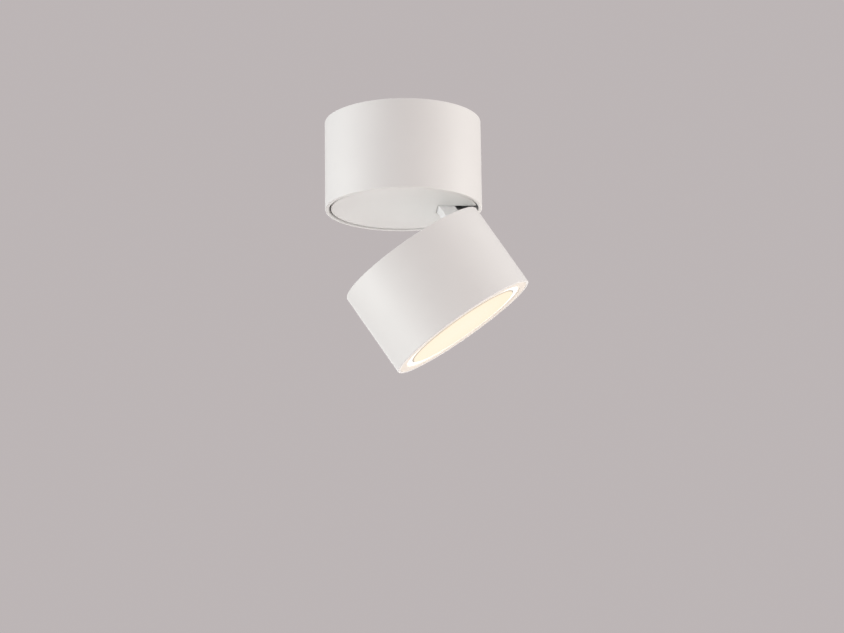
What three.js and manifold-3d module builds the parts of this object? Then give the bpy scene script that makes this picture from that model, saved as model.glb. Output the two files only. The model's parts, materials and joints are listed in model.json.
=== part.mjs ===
// A surface mounted ceiling spotlight: a round canopy fixed to the ceiling, a cover disc that turns
// in its underside, and a round lamp head that tilts on a hinge near the disc's edge.
// Millimetres, +Z up. The origin is the centre of the ceiling face. The head is modelled in a frame
// of its own, with its top face at zero, and is placed as it hangs, tilted open towards +X.
import * as THREE from 'three';
import { mergeVertices } from 'three/addons/utils/BufferGeometryUtils.js';
import Module from 'manifold-3d';

const wasm = await Module();
wasm.setup();

// Driving sizes of the lamp
const lampDiameter = 88;
const canopyHeight = 51;
const headLength = 51;
const closedGap = 3;
const tiltAtRest = THREE.MathUtils.degToRad(34);
const tiltWhenOpen = THREE.MathUtils.degToRad(35);

// Named clearances, and one overrun for every cut
const seatGap = 0.3;
const runningGap = 0.2;
const threadGap = 0.25;
const overrun = 1;

// Counts of sides
const largeSides = 72;
const mediumSides = 32;
const smallSides = 12;
const wireSides = 8;
const hexagonSides = 6;

// Canopy housing
const canopyWall = 2.2;
const rimBevel = 0.4;
const hingeRoom = 22.5;
const bridgeThickness = 2;
const bridgeLugReach = 4.6;
const bridgeLugWidth = 8;
const bridgeLugHeight = 6;
const bridgeScrewWallGap = 0.3;
const bridgeScrewCount = 3;

// Mounting plate and its tabs
const plateThickness = 1.5;
const plateWidth = 34;
const plateSlotLength = 10;
const plateSlotWidth = 4.4;
const plateSlotReach = 25;
const tabWidth = 12;
const tabThickness = 2;
const tabLength = 14;
const grubRadius = 1.5;
const grubLength = 6.4;
const grubSocketWidth = 1.5;
const grubSocketDepth = 1.6;
const grubLevel = 8;

// Cable hole with its grommet, and the earth screw
const cableHoleRadius = 6;
const cableHoleOffset = 9;
const grommetBore = 4;
const grommetFlangeRadius = 8;
const grommetFlangeThickness = 1.5;
const grommetTailLength = 1.2;
const earthScrewAcross = 15;
const earthScrewBack = 11;

// Screws by thread radius
const screwHeadShare = 1.8;
const screwHeadHeightShare = 1.1;
const slotWidthShare = 0.4;
const slotDepthShare = 0.5;
const mediumScrewRadius = 1.5;
const smallScrewRadius = 1.2;

// Terminal block
const terminalLength = 30;
const terminalWidth = 13;
const terminalHeight = 12;
const terminalNutGap = 9.4;
const terminalPitch = 9;
const terminalPoles = 3;
const terminalWellRadius = 1.9;
const terminalWellDepth = 5.5;
const terminalBoreRadius = 1.4;
const terminalBoreHeight = 4.5;

// LED driver
const driverTabGap = 0.75;
const driverFarInset = 8.15;
const driverWallGap = 1.9;
const driverTopGap = 6.4;
const driverBaseThickness = 1.5;
const driverEarLength = 8;
const driverEarWidth = 8;
const driverCoverWall = 1.2;
const driverBoardInset = 1.8;
const driverBoardThickness = 1.4;
const driverPartGap = 1.2;
const driverPartSideGap = 3.5;
const transformerWidthShare = 0.67;
const transformerHeightShare = 0.72;
const capacitorHeightShare = 0.78;
const chokeHeightShare = 0.45;

// Wires and cables
const wireRadius = 0.9;
const cableRadius = 1.7;
const wireSpacing = 3.2;
const leadFlexGap = 0.9;
const tubeStepShare = 0.7;
const leadExitAngle = THREE.MathUtils.degToRad(45);

// Turntable disc, its hub and the swivel
const discGap = 0.8;
const discRecess = 0.5;
const discThickness = 3;
const discBevel = 0.3;
const hubRadius = 9;
const hubHeight = 3;
const hubFloor = 1.4;
const postRadius = 5;
const postShoulderRadius = 7;
const postBore = 3;
const postWindowHeight = 6.4;
const postWindowRise = 0.6;
const swivelWasherRadius = 9;
const swivelWasherThickness = 0.8;
const stopWasherThickness = 0.8;
const stopWasherRadius = 8;
const stopTabPast = 0.1;
const stopTabWidth = 2.2;
const stopPinRadius = 1;
const stopPinGap = 1.3;
const stopPinRise = 3.5;
const nutRadius = 8.1;
const nutHeight = 4;
const postTail = 1.2;

// Tilt hinge
const pivotWallGap = 0.8;
const pivotTopGap = 0.4;
const hingePinRadius = 1.25;
const hingeEyeRadius = 3;
const lugWidth = 8;
const hingeWasherThickness = 0.8;
const hingePinHeadRadius = 2.2;
const hingePinHeadHeight = 1.1;
const hingeNutRadius = 2.3;
const hingeNutHeight = 1.6;
const stemThickness = 3;
const bracketHeight = 8;
const bracketFootWidth = 5.1;
const bracketFootThickness = 2;
const bracketFootReach = 8;
const bracketScrewInset = 4;
const bracketScrewDepth = 2;

// Hinge arm and the slot that it swings in
const armPivotGap = 4;
const armThickness = 7.7;
const armWidth = 13.5;
const armBridgeGap = 4;
const armHubGap = 5.2;
const armWindowHeight = 4.5;
const armChannelRadius = 2.3;
const armEdgeBevel = 0.4;
const armFlangeThickness = 2.2;
const armFlangeReach = 9;
const armFlangeOverhang = 3.5;
const slotSideGap = 0.85;
const notchSideGap = 0.3;

// Lamp head
const headWall = 1.6;
const headBevel = 0.5;
const headBossRadius = 3;
const headBossInset = 4.5;
const headBossCount = 3;
const headBossTurn = THREE.MathUtils.degToRad(60);
const headScrewDepth = 6;
const heatSinkWallGap = 4.9;
const heatSinkLevel = 18;
const heatSinkThickness = 4;
const finThickness = 1.6;
const finPitch = 7;
const finEdgeInset = 8;
const finTopGap = 0.6;
const finHingeGap = 2.9;
const leadHoleBoardGap = 10;
const leadHoleRadius = 2.4;
const leadHoleLength = 4;
const ledBoardRadius = 14;
const ledBoardThickness = 1.6;
const emitterScrewGap = 0.84;
const ledEmitterThickness = 1;
const boardScrewInset = 3;
const boardScrewDepth = 2.5;

// Reflector, diffuser, its ring and the bezel, from the front edge inwards
const bezelWidth = 4.4;
const bezelThickness = 3.5;
const bezelRecess = 0.2;
const bezelChamfer = 0.5;
const ringWidth = 4.2;
const ringFlangeThickness = 1.2;
const ringRecess = 0.35;
const diffuserRecess = 0.6;
const diffuserThickness = 1.2;
const diffuserLap = 4;
const diffuserDepth = 4.6;
const reflectorWall = 1.2;
const reflectorFlangeThickness = 1.2;
const reflectorMouthStep = 0.8;
const reflectorThroatGap = 2.4;

// Radii and levels that follow from the sizes above
const lampRadius = lampDiameter / 2;
const canopyInner = lampRadius - canopyWall;
const rimLevel = -canopyHeight;
const bridgeBottom = rimLevel + hingeRoom;
const bridgeTop = bridgeBottom + bridgeThickness;
const discBottom = rimLevel + discRecess;
const discTop = discBottom + discThickness;
const discRadius = canopyInner - discGap;
const hubTop = discTop + hubHeight;
const hubBore = postRadius + runningGap;
const stopWasherBottom = bridgeTop + seatGap;
const stopPinReach = stopWasherRadius + stopPinGap + stopPinRadius;
const stopTabReach = stopPinReach + stopPinRadius + stopTabPast;
const nutBottom = stopWasherBottom + stopWasherThickness + seatGap;
const postTop = nutBottom + nutHeight + postTail;
const terminalOffset = nutRadius + terminalNutGap + terminalWidth / 2;
const pivotReach = lampRadius - headWall - pivotWallGap - hingeEyeRadius;
const pivotDepth = headWall + hingeNutRadius + pivotTopGap;
const pivotLevel = rimLevel - closedGap - pivotDepth;
const armNearSide = pivotReach - armPivotGap;
const armFarSide = armNearSide - armThickness;
const headInner = lampRadius - headWall;
const headSeatRadius = headInner - runningGap;
const heatSinkRadius = headInner - heatSinkWallGap;
const headBossReach = heatSinkRadius - headBossInset;
const leadHoleReach = ledBoardRadius + leadHoleBoardGap;
const boardScrewReach = ledBoardRadius - boardScrewInset;
const ledEmitterRadius = boardScrewReach - smallScrewRadius * screwHeadShare - emitterScrewGap;
const bezelInnerRadius = headSeatRadius - bezelWidth;
const ringInnerRadius = bezelInnerRadius - ringWidth;
const diffuserNoseRadius = ringInnerRadius - runningGap;
const diffuserInnerRadius = diffuserNoseRadius - diffuserThickness;
const reflectorMouthRadius = diffuserInnerRadius + reflectorMouthStep;
const reflectorThroatRadius = ledEmitterRadius + reflectorThroatGap;
const earInner = lugWidth / 2 + hingeWasherThickness + 2 * runningGap;
const heatSinkBottom = -heatSinkLevel - heatSinkThickness;
const ledBoardTop = heatSinkBottom - seatGap;
const ledEmitterTop = ledBoardTop - ledBoardThickness - seatGap;
const bezelFront = -headLength + bezelRecess;
const ringFlangeBottom = bezelFront + bezelThickness + seatGap;
const ringFlangeTop = ringFlangeBottom + ringFlangeThickness;
const diffuserFront = -headLength + diffuserRecess;
const diffuserBack = diffuserFront + diffuserDepth + ringFlangeThickness;
const reflectorFlangeBottom = diffuserBack + seatGap;

// Materials

function paint(color, roughness, metalness) {
  return new THREE.MeshStandardMaterial({ color, roughness, metalness });
}

const whitePowder = paint(0xe9e7e3, 0.55, 0.0);
const whitePlastic = paint(0xf4f2ee, 0.35, 0.0);
const opal = paint(0xfff4dc, 0.5, 0.0);
const zincSteel = paint(0xb9bcc0, 0.35, 1.0);
const bareAluminium = paint(0xc9cbcd, 0.4, 1.0);
const brassMetal = paint(0xc7a55a, 0.35, 1.0);
const nylon = paint(0xe6e2d4, 0.6, 0.0);
const blackRubber = paint(0x202020, 0.85, 0.0);
const greenBoard = paint(0x2f6b3c, 0.5, 0.0);
const phosphor = paint(0xf0c94a, 0.5, 0.0);
const brownSheath = paint(0x6b3d22, 0.5, 0.0);
const blueSheath = paint(0x2c5fa8, 0.5, 0.0);
const greenSheath = paint(0x5f9a35, 0.5, 0.0);
const whiteSheath = paint(0xe2e2df, 0.5, 0.0);

// Solids

// A three.js geometry as a closed solid, its faces turned outwards.
function solidOf(geometry) {
  const bare = geometry.index ? geometry.toNonIndexed() : geometry;
  bare.deleteAttribute('normal');
  bare.deleteAttribute('uv');
  const merged = mergeVertices(bare);
  const places = merged.attributes.position.array;
  const corners = merged.index.array;
  const kept = [];
  let volume = 0;
  for (let i = 0; i < corners.length; i += 3) {
    const [a, b, c] = corners.subarray(i, i + 3);
    if (a === b || b === c || c === a) continue;
    kept.push(a, b, c);
    const first = new THREE.Vector3().fromArray(places, a * 3);
    const second = new THREE.Vector3().fromArray(places, b * 3);
    const third = new THREE.Vector3().fromArray(places, c * 3);
    volume += first.dot(second.cross(third));
  }
  if (volume < 0) kept.reverse();
  const mesh = new wasm.Mesh({ numProp: 3, vertProperties: places, triVerts: new Uint32Array(kept) });
  return new wasm.Manifold(mesh);
}

// A solid as a flat-shaded three.js geometry.
function geometryOf(solid) {
  const mesh = solid.getMesh();
  const geometry = new THREE.BufferGeometry();
  geometry.setAttribute('position', new THREE.BufferAttribute(mesh.vertProperties, mesh.numProp));
  geometry.setIndex(new THREE.BufferAttribute(mesh.triVerts, 1));
  const flat = geometry.toNonIndexed();
  flat.computeVertexNormals();
  return flat;
}

function united(solids) {
  return solids.reduce((whole, solid) => whole.add(solid));
}

function cutBy(solid, cutters) {
  return cutters.reduce((rest, cutter) => rest.subtract(cutter), solid);
}

// A box from its low and high corners.
function block([x0, x1], [y0, y1], [z0, z1]) {
  const box = new THREE.BoxGeometry(x1 - x0, y1 - y0, z1 - z0);
  box.translate((x0 + x1) / 2, (y0 + y1) / 2, (z0 + z1) / 2);
  return solidOf(box);
}

// A round bar along Z, from a low to a high level, at a place across.
function barZ(radius, low, high, sides, x = 0, y = 0) {
  const bar = new THREE.CylinderGeometry(radius, radius, high - low, sides);
  bar.rotateX(Math.PI / 2);
  bar.translate(x, y, (low + high) / 2);
  return solidOf(bar);
}

// A round bar along X.
function barX(radius, low, high, sides, y, z) {
  const bar = new THREE.CylinderGeometry(radius, radius, high - low, sides);
  bar.rotateZ(Math.PI / 2);
  bar.translate((low + high) / 2, y, z);
  return solidOf(bar);
}

// A round bar along Y.
function barY(radius, low, high, sides, x, z) {
  const bar = new THREE.CylinderGeometry(radius, radius, high - low, sides);
  bar.translate(x, (low + high) / 2, z);
  return solidOf(bar);
}

// A turned piece about Z from a list of [radius, level] points, closed on itself.
function turned(profile, sides) {
  const points = profile.map(([radius, level]) => new THREE.Vector2(radius, level));
  const onAxis = profile[0][0] === 0 && profile[profile.length - 1][0] === 0;
  if (!onAxis) points.push(points[0].clone());
  const lathe = new THREE.LatheGeometry(points, sides);
  lathe.rotateX(Math.PI / 2);
  return solidOf(lathe);
}

// A flat outline of [x, z] points, carried along Y.
function prismY(outline, low, high) {
  const shape = new THREE.Shape(outline.map(([x, z]) => new THREE.Vector2(x, z)));
  const prism = new THREE.ExtrudeGeometry(shape, { depth: high - low, bevelEnabled: false });
  prism.rotateX(Math.PI / 2);
  prism.translate(0, high, 0);
  return solidOf(prism);
}

// A round tube along a smooth curve through its points, in steps of about its own width.
function tube(points, radius, sides) {
  const curve = new THREE.CatmullRomCurve3(points.map((point) => new THREE.Vector3(...point)));
  const steps = Math.ceil(curve.getLength() / (2 * radius * tubeStepShare));
  const section = new THREE.Shape();
  for (let i = 0; i < sides; i += 1) {
    const turn = (i / sides) * 2 * Math.PI;
    const corner = [radius * Math.cos(turn), radius * Math.sin(turn)];
    if (i === 0) section.moveTo(...corner);
    else section.lineTo(...corner);
  }
  section.closePath();
  return solidOf(new THREE.ExtrudeGeometry(section, { extrudePath: curve, steps, bevelEnabled: false }));
}

function turnedAbout(solid, angle) {
  return solid.rotate([0, 0, THREE.MathUtils.radToDeg(angle)]);
}

// A slotted pan-head screw that points up, with its head's underside at a level.
function screwUp(radius, seat, tip, x = 0, y = 0) {
  const headRadius = radius * screwHeadShare;
  const headHeight = radius * screwHeadHeightShare;
  const slotHalf = (radius * slotWidthShare) / 2;
  const bottom = seat - headHeight;
  const slot = block(
    [x - headRadius - overrun, x + headRadius + overrun],
    [y - slotHalf, y + slotHalf],
    [bottom - overrun, bottom + headHeight * slotDepthShare],
  );
  const head = barZ(headRadius, bottom, seat, smallSides, x, y);
  return head.add(barZ(radius, bottom, tip, smallSides, x, y)).subtract(slot);
}

// The same screw pointing down, with its head's underside at a level.
function screwDown(radius, seat, tip, x = 0, y = 0) {
  return screwUp(radius, -seat, -tip, x, -y).rotate([180, 0, 0]);
}

// The piece's solid as a named mesh, hung in a group.
function place(group, name, solid, material) {
  const mesh = new THREE.Mesh(geometryOf(solid), material);
  mesh.name = name;
  group.add(mesh);
}

const lamp = new THREE.Group();
const canopy = new THREE.Group();
const turntable = new THREE.Group();
const headPivot = new THREE.Group();
const head = new THREE.Group();
lamp.add(canopy, turntable, headPivot);
headPivot.position.set(pivotReach, 0, pivotLevel);
headPivot.rotation.y = -tiltAtRest;
headPivot.add(head);
head.position.set(-pivotReach, 0, pivotDepth);

// A place in the head's frame as a place in the lamp's frame.
function fromHead([x, y, z]) {
  lamp.updateMatrixWorld(true);
  return new THREE.Vector3(x, y, z).applyMatrix4(head.matrixWorld).toArray();
}

// Canopy, fixed to the ceiling

const plateRadius = canopyInner - seatGap;
const tabOuter = Math.sqrt(plateRadius ** 2 - (tabWidth / 2) ** 2);

function mountingPlate() {
  const round = barZ(plateRadius, -plateThickness, 0, largeSides);
  const band = block(
    [-lampRadius, lampRadius],
    [-plateWidth / 2, plateWidth / 2],
    [-plateThickness - overrun, overrun],
  );
  let plate = round.intersect(band);
  for (const side of [-1, 1]) {
    const ends = [side * tabOuter, side * (tabOuter - tabThickness)].sort((a, b) => a - b);
    plate = plate.add(block(ends, [-tabWidth / 2, tabWidth / 2], [-tabLength, 0]));
    const slotEnds = [-1, 1].map(
      (end) => side * plateSlotReach + (end * (plateSlotLength - plateSlotWidth)) / 2,
    );
    const across = [-plateSlotWidth / 2, plateSlotWidth / 2];
    const through = [-plateThickness - overrun, overrun];
    plate = cutBy(plate, [
      block(slotEnds, across, through),
      ...slotEnds.map((x) => barZ(plateSlotWidth / 2, ...through, smallSides, x)),
    ]);
  }
  return cutBy(plate, [
    barX(grubRadius + threadGap, -lampRadius, lampRadius, smallSides, 0, -grubLevel),
    barZ(cableHoleRadius, -plateThickness - overrun, overrun, mediumSides, 0, cableHoleOffset),
    barZ(mediumScrewRadius + threadGap, -plateThickness - overrun, overrun, smallSides,
      earthScrewAcross, -earthScrewBack),
  ]);
}

function cableGrommet() {
  const sleeve = cableHoleRadius - seatGap;
  const flangeTop = -plateThickness - seatGap;
  const flangeBottom = flangeTop - grommetFlangeThickness;
  const profile = [
    [grommetBore, 0],
    [sleeve, 0],
    [sleeve, flangeTop],
    [grommetFlangeRadius, flangeTop],
    [grommetFlangeRadius, flangeBottom],
    [sleeve, flangeBottom - grommetTailLength],
    [grommetBore, flangeBottom - grommetTailLength],
  ];
  return turned(profile, mediumSides).translate([0, cableHoleOffset, 0]);
}

// Places of the three bridge screws round the housing.
function bridgeScrewTurns() {
  const first = Math.PI / 2;
  return Array.from({ length: bridgeScrewCount }, (_, i) => first + (i * 2 * Math.PI) / bridgeScrewCount);
}

const bridgeScrewReach = canopyInner - smallScrewRadius * screwHeadShare - bridgeScrewWallGap;
const bridgeLugTop = bridgeBottom - seatGap;

function canopyHousing() {
  const tubeProfile = [
    [canopyInner, 0],
    [lampRadius, 0],
    [lampRadius, rimLevel + rimBevel],
    [lampRadius - rimBevel, rimLevel],
    [canopyInner + rimBevel, rimLevel],
    [canopyInner, rimLevel + rimBevel],
  ];
  let housing = turned(tubeProfile, largeSides);
  for (const turn of bridgeScrewTurns()) {
    const lug = block(
      [canopyInner - bridgeLugReach, canopyInner + canopyWall / 2],
      [-bridgeLugWidth / 2, bridgeLugWidth / 2],
      [bridgeLugTop - bridgeLugHeight, bridgeLugTop],
    );
    const hole = barZ(smallScrewRadius + threadGap, bridgeLugTop - bridgeLugHeight - overrun,
      bridgeLugTop + overrun, smallSides, bridgeScrewReach);
    housing = housing.add(turnedAbout(lug, turn)).subtract(turnedAbout(hole, turn));
  }
  const grubHole = barX(grubRadius + threadGap, -lampRadius - overrun, lampRadius + overrun,
    smallSides, 0, -grubLevel);
  return housing.subtract(grubHole);
}

// Grub screw through the housing's wall into the plate's tab, its socket outwards.
function canopyScrew(side) {
  const outer = lampRadius - runningGap;
  const screw = barX(grubRadius, outer - grubLength, outer, smallSides, 0, -grubLevel);
  const socket = barX(grubSocketWidth / 2, outer - grubSocketDepth, outer + overrun, hexagonSides, 0,
    -grubLevel);
  return turnedAbout(screw.subtract(socket), side > 0 ? 0 : Math.PI);
}

// The driver fills the room between the stop tab's sweep and the housing's wall.
const driverY = [stopTabReach + driverTabGap, canopyInner - driverFarInset];
const driverWidth = driverY[1] - driverY[0];
const driverOffset = (driverY[0] + driverY[1]) / 2;

// How far along X the driver can reach beside the wall, at a distance from the middle.
function driverRoomAt(y) {
  return Math.sqrt((canopyInner - driverWallGap) ** 2 - y ** 2);
}

const driverLength = 2 * Math.min(
  driverRoomAt(driverY[1]),
  driverRoomAt(driverOffset + driverEarWidth / 2) - driverEarLength,
);

function driverScrewPlaces() {
  const reach = (driverLength + driverEarLength) / 2;
  return [-1, 1].map((side) => [side * reach, driverOffset]);
}

const terminalFixingAcross = terminalPitch / 2;

function bridgePlate() {
  const plate = barZ(canopyInner - seatGap, bridgeBottom, bridgeTop, largeSides);
  const through = [bridgeBottom - overrun, bridgeTop + overrun];
  const centreHole = barZ(postRadius + seatGap, ...through, mediumSides);
  const rimHoles = bridgeScrewTurns().map((turn) =>
    turnedAbout(barZ(smallScrewRadius + threadGap, ...through, smallSides, bridgeScrewReach), turn));
  const driverHoles = driverScrewPlaces().map(([x, y]) =>
    barZ(smallScrewRadius + threadGap, ...through, smallSides, x, y));
  const terminalHole = barZ(smallScrewRadius + threadGap, ...through, smallSides,
    terminalFixingAcross, -terminalOffset);
  const pinHole = barZ(stopPinRadius + runningGap, ...through, smallSides, -stopPinReach);
  return cutBy(plate, [centreHole, ...rimHoles, ...driverHoles, terminalHole, pinHole]);
}

function bridgeScrew(turn) {
  const tip = bridgeLugTop - bridgeLugHeight + overrun;
  return turnedAbout(screwDown(smallScrewRadius, bridgeTop + seatGap, tip, bridgeScrewReach), turn);
}

function stopPin() {
  return barZ(stopPinRadius, bridgeBottom, bridgeTop + stopPinRise, smallSides, -stopPinReach);
}

const terminalBottom = bridgeTop + seatGap;
const terminalTop = terminalBottom + terminalHeight;

// Places of the terminal poles along the block.
function terminalPlaces() {
  return Array.from({ length: terminalPoles }, (_, i) => (i - (terminalPoles - 1) / 2) * terminalPitch);
}

function terminalBlock() {
  const body = block(
    [-terminalLength / 2, terminalLength / 2],
    [-terminalOffset - terminalWidth / 2, -terminalOffset + terminalWidth / 2],
    [terminalBottom, terminalTop],
  );
  const wells = terminalPlaces().map((x) => barZ(terminalWellRadius, terminalTop - terminalWellDepth,
    terminalTop + overrun, smallSides, x, -terminalOffset));
  const bores = terminalPlaces().map((x) => barY(terminalBoreRadius,
    -terminalOffset - terminalWidth / 2 - overrun, -terminalOffset + terminalWidth / 2 + overrun,
    smallSides, x, terminalBottom + terminalBoreHeight));
  const fixingHole = barZ(smallScrewRadius + threadGap, terminalBottom - overrun, terminalTop + overrun,
    smallSides, terminalFixingAcross, -terminalOffset);
  return cutBy(body, [...wells, ...bores, fixingHole]);
}

function terminalScrew(x) {
  const radius = terminalWellRadius - threadGap;
  const low = terminalTop - terminalWellDepth + seatGap;
  const high = terminalTop - seatGap;
  const slotHalf = (radius * slotWidthShare) / 2;
  const slot = block(
    [x - radius - overrun, x + radius + overrun],
    [-terminalOffset - slotHalf, -terminalOffset + slotHalf],
    [high - radius * slotDepthShare, high + overrun],
  );
  return barZ(radius, low, high, smallSides, x, -terminalOffset).subtract(slot);
}

function terminalFixingScrew() {
  return screwDown(smallScrewRadius, terminalTop + seatGap, bridgeBottom, terminalFixingAcross,
    -terminalOffset);
}

const driverBaseBottom = bridgeTop + seatGap;
const driverBaseTop = driverBaseBottom + driverBaseThickness;
const driverCoverBottom = driverBaseTop + seatGap;
const driverCoverTop = -driverTopGap;

function driverBase() {
  const floor = block([-driverLength / 2, driverLength / 2], driverY, [driverBaseBottom, driverBaseTop]);
  const ears = block(
    [-driverLength / 2 - driverEarLength, driverLength / 2 + driverEarLength],
    [driverOffset - driverEarWidth / 2, driverOffset + driverEarWidth / 2],
    [driverBaseBottom, driverBaseTop],
  );
  const holes = driverScrewPlaces().map(([x, y]) => barZ(smallScrewRadius + threadGap,
    driverBaseBottom - overrun, driverBaseTop + overrun, smallSides, x, y));
  return cutBy(floor.add(ears), holes);
}

// The circuit board with its transformer, capacitors and choke.
function driverBoard() {
  const low = driverBaseTop + seatGap;
  const top = low + driverBoardThickness;
  const halfLength = driverLength / 2 - driverBoardInset;
  const sides = [driverY[0] + driverBoardInset, driverY[1] - driverBoardInset];
  const board = block([-halfLength, halfLength], sides, [low, top]);
  const room = driverCoverTop - driverCoverWall - top;
  const capacitorRadius = (driverWidth / 2 - driverPartSideGap) / 2;
  const endReach = halfLength - driverPartGap - capacitorRadius;
  const transformerReach = endReach - capacitorRadius - driverPartGap;
  const transformer = block(
    [-transformerReach, transformerReach],
    sides.map((y) => driverOffset + (y - driverOffset) * transformerWidthShare),
    [low, top + room * transformerHeightShare],
  );
  const capacitors = [-1, 1].map((side) => barZ(capacitorRadius, low, top + room * capacitorHeightShare,
    smallSides, endReach, driverOffset + side * (capacitorRadius + runningGap)));
  const choke = barZ(capacitorRadius, low, top + room * chokeHeightShare, smallSides, -endReach,
    driverOffset);
  return united([board, transformer, ...capacitors, choke]);
}

const driverWireLevel = (driverCoverBottom + driverCoverTop) / 2;
const driverWireY = [-1, 1].map((side) => driverOffset + (side * wireSpacing) / 2);

function driverCover() {
  const halfLength = driverLength / 2;
  const shell = block([-halfLength, halfLength], driverY, [driverCoverBottom, driverCoverTop]);
  const hollow = block(
    [-halfLength + driverCoverWall, halfLength - driverCoverWall],
    [driverY[0] + driverCoverWall, driverY[1] - driverCoverWall],
    [driverCoverBottom - overrun, driverCoverTop - driverCoverWall],
  );
  const inlets = driverWireY.map((y) => barX(wireRadius + threadGap, -halfLength - overrun, 0,
    smallSides, y, driverWireLevel));
  const outlet = barX(cableRadius + threadGap, 0, halfLength + overrun, smallSides, driverOffset,
    driverWireLevel);
  return cutBy(shell, [hollow, ...inlets, outlet]);
}

function driverScrew([x, y]) {
  return screwDown(smallScrewRadius, driverBaseTop + seatGap, bridgeBottom, x, y);
}

function earthScrew() {
  return screwUp(mediumScrewRadius, -plateThickness - seatGap, -runningGap, earthScrewAcross,
    -earthScrewBack);
}

// Mains wire from a terminal pole, past the swivel nut, to the driver's left end.
function mainsWire(pole, inlet) {
  const start = terminalPlaces()[pole];
  const terminalFace = -terminalOffset + terminalWidth / 2;
  const level = terminalBottom + terminalBoreHeight;
  const bend = driverLength / 2 + (inlet + 2) * wireSpacing;
  const points = [
    [start, terminalFace - terminalWidth / 3, level],
    [start, terminalFace + wireSpacing, level],
    [(start - bend) / 2, -nutRadius, level],
    [-bend, 0, driverWireLevel],
    [-bend, driverWireY[inlet] - wireSpacing, driverWireLevel],
    [-driverLength / 2 - wireSpacing, driverWireY[inlet], driverWireLevel],
    [-driverLength / 2 + driverBoardInset, driverWireY[inlet], driverWireLevel],
  ];
  return tube(points, wireRadius, wireSides);
}

// Earth wire from the third pole up to the screw on the plate.
function earthWire() {
  const start = terminalPlaces()[terminalPoles - 1];
  const terminalFace = -terminalOffset - terminalWidth / 2;
  const level = terminalBottom + terminalBoreHeight;
  const screwHead = -plateThickness - seatGap - mediumScrewRadius * screwHeadHeightShare;
  const points = [
    [start, terminalFace + terminalWidth / 3, level],
    [start, terminalFace - wireSpacing, level],
    [(start + earthScrewAcross) / 2, terminalFace - wireSpacing, (level + screwHead) / 2],
    [earthScrewAcross, -earthScrewBack - wireSpacing, screwHead - 3 * wireSpacing],
    [earthScrewAcross, -earthScrewBack, screwHead - 2 * wireSpacing],
    [earthScrewAcross, -earthScrewBack, screwHead - wireSpacing],
    [earthScrewAcross, -earthScrewBack, screwHead - seatGap],
  ];
  return tube(points, wireRadius, wireSides);
}

// Output cable from the driver's right end over to the swivel post's mouth.
function outputCable() {
  const bend = driverLength / 2 + 3 * wireSpacing;
  const above = postTop + 2 * nutHeight;
  const points = [
    [driverLength / 2 - driverBoardInset, driverOffset, driverWireLevel],
    [driverLength / 2 + wireSpacing, driverOffset, driverWireLevel],
    [bend, driverOffset - 2 * wireSpacing, driverWireLevel],
    [bend - wireSpacing, wireSpacing, above],
    [hubRadius, 0, above + wireSpacing / 2],
    [0, 0, postTop + 2 * cableRadius],
    [0, 0, postTop + cableRadius],
    [0, 0, postTop + seatGap],
  ];
  return tube(points, cableRadius, wireSides);
}

// Turntable, which turns in the canopy's underside

// Where the arm's far face crosses a level when the head is wide open.
function openArmFace(level) {
  const offset = (pivotReach - armFarSide) / Math.cos(tiltWhenOpen);
  return pivotReach - offset - (level - pivotLevel) * Math.tan(tiltWhenOpen);
}

const slotHalfWidth = armWidth / 2 + slotSideGap;
const bracketNear = slotHalfWidth + seatGap;
const bracketFar = bracketNear + bracketFootWidth;

function bracketScrewPlaces() {
  const x = pivotReach - stemThickness - bracketScrewInset;
  const y = (bracketNear + bracketFar) / 2;
  return [-y, y].map((side) => [x, side]);
}

function turntableDisc() {
  const profile = [
    [0, discBottom],
    [discRadius - discBevel, discBottom],
    [discRadius, discBottom + discBevel],
    [discRadius, discTop],
    [hubRadius, discTop],
    [hubRadius, hubTop],
    [hubBore, hubTop],
    [hubBore, discBottom + hubFloor],
    [0, discBottom + hubFloor],
  ];
  const low = discBottom - overrun;
  const high = discTop + overrun;
  const slot = prismY(
    [
      [openArmFace(low) - runningGap, low],
      [lampRadius, low],
      [lampRadius, high],
      [openArmFace(high) - runningGap, high],
    ],
    -slotHalfWidth,
    slotHalfWidth,
  );
  const holes = bracketScrewPlaces().map(([x, y]) => barZ(smallScrewRadius + threadGap,
    discTop - bracketScrewDepth - seatGap, discTop + overrun, smallSides, x, y));
  return cutBy(turned(profile, largeSides), [slot, ...holes]);
}

const postShoulder = bridgeBottom - seatGap - swivelWasherThickness - seatGap;

function swivelPost() {
  const foot = discBottom + hubFloor + seatGap;
  const shoulderBottom = hubTop + seatGap;
  const profile = [
    [postBore, foot],
    [postRadius, foot],
    [postRadius, shoulderBottom],
    [postShoulderRadius, shoulderBottom],
    [postShoulderRadius, postShoulder],
    [postRadius, postShoulder],
    [postRadius, postTop],
    [postBore, postTop],
  ];
  const windowLow = shoulderBottom + postWindowRise;
  const window = block(
    [0, postShoulderRadius + overrun],
    [-postBore + runningGap, postBore - runningGap],
    [windowLow, windowLow + postWindowHeight],
  );
  return turned(profile, mediumSides).subtract(window);
}

function flatRing(inner, outer, low, high, sides) {
  return turned([[inner, low], [outer, low], [outer, high], [inner, high]], sides);
}

function swivelWasher() {
  const high = bridgeBottom - seatGap;
  return flatRing(postRadius + runningGap, swivelWasherRadius, high - swivelWasherThickness, high,
    mediumSides);
}

function stopWasher() {
  const high = stopWasherBottom + stopWasherThickness;
  const ring = flatRing(postRadius + runningGap, stopWasherRadius, stopWasherBottom, high, mediumSides);
  const tab = block(
    [(postRadius + stopWasherRadius) / 2, stopTabReach],
    [-stopTabWidth / 2, stopTabWidth / 2],
    [stopWasherBottom, high],
  );
  return ring.add(tab);
}

function swivelNut() {
  const hexagon = barZ(nutRadius, nutBottom, nutBottom + nutHeight, hexagonSides);
  return hexagon.subtract(barZ(postRadius + runningGap, nutBottom - overrun, nutBottom + nutHeight + overrun,
    mediumSides));
}

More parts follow.
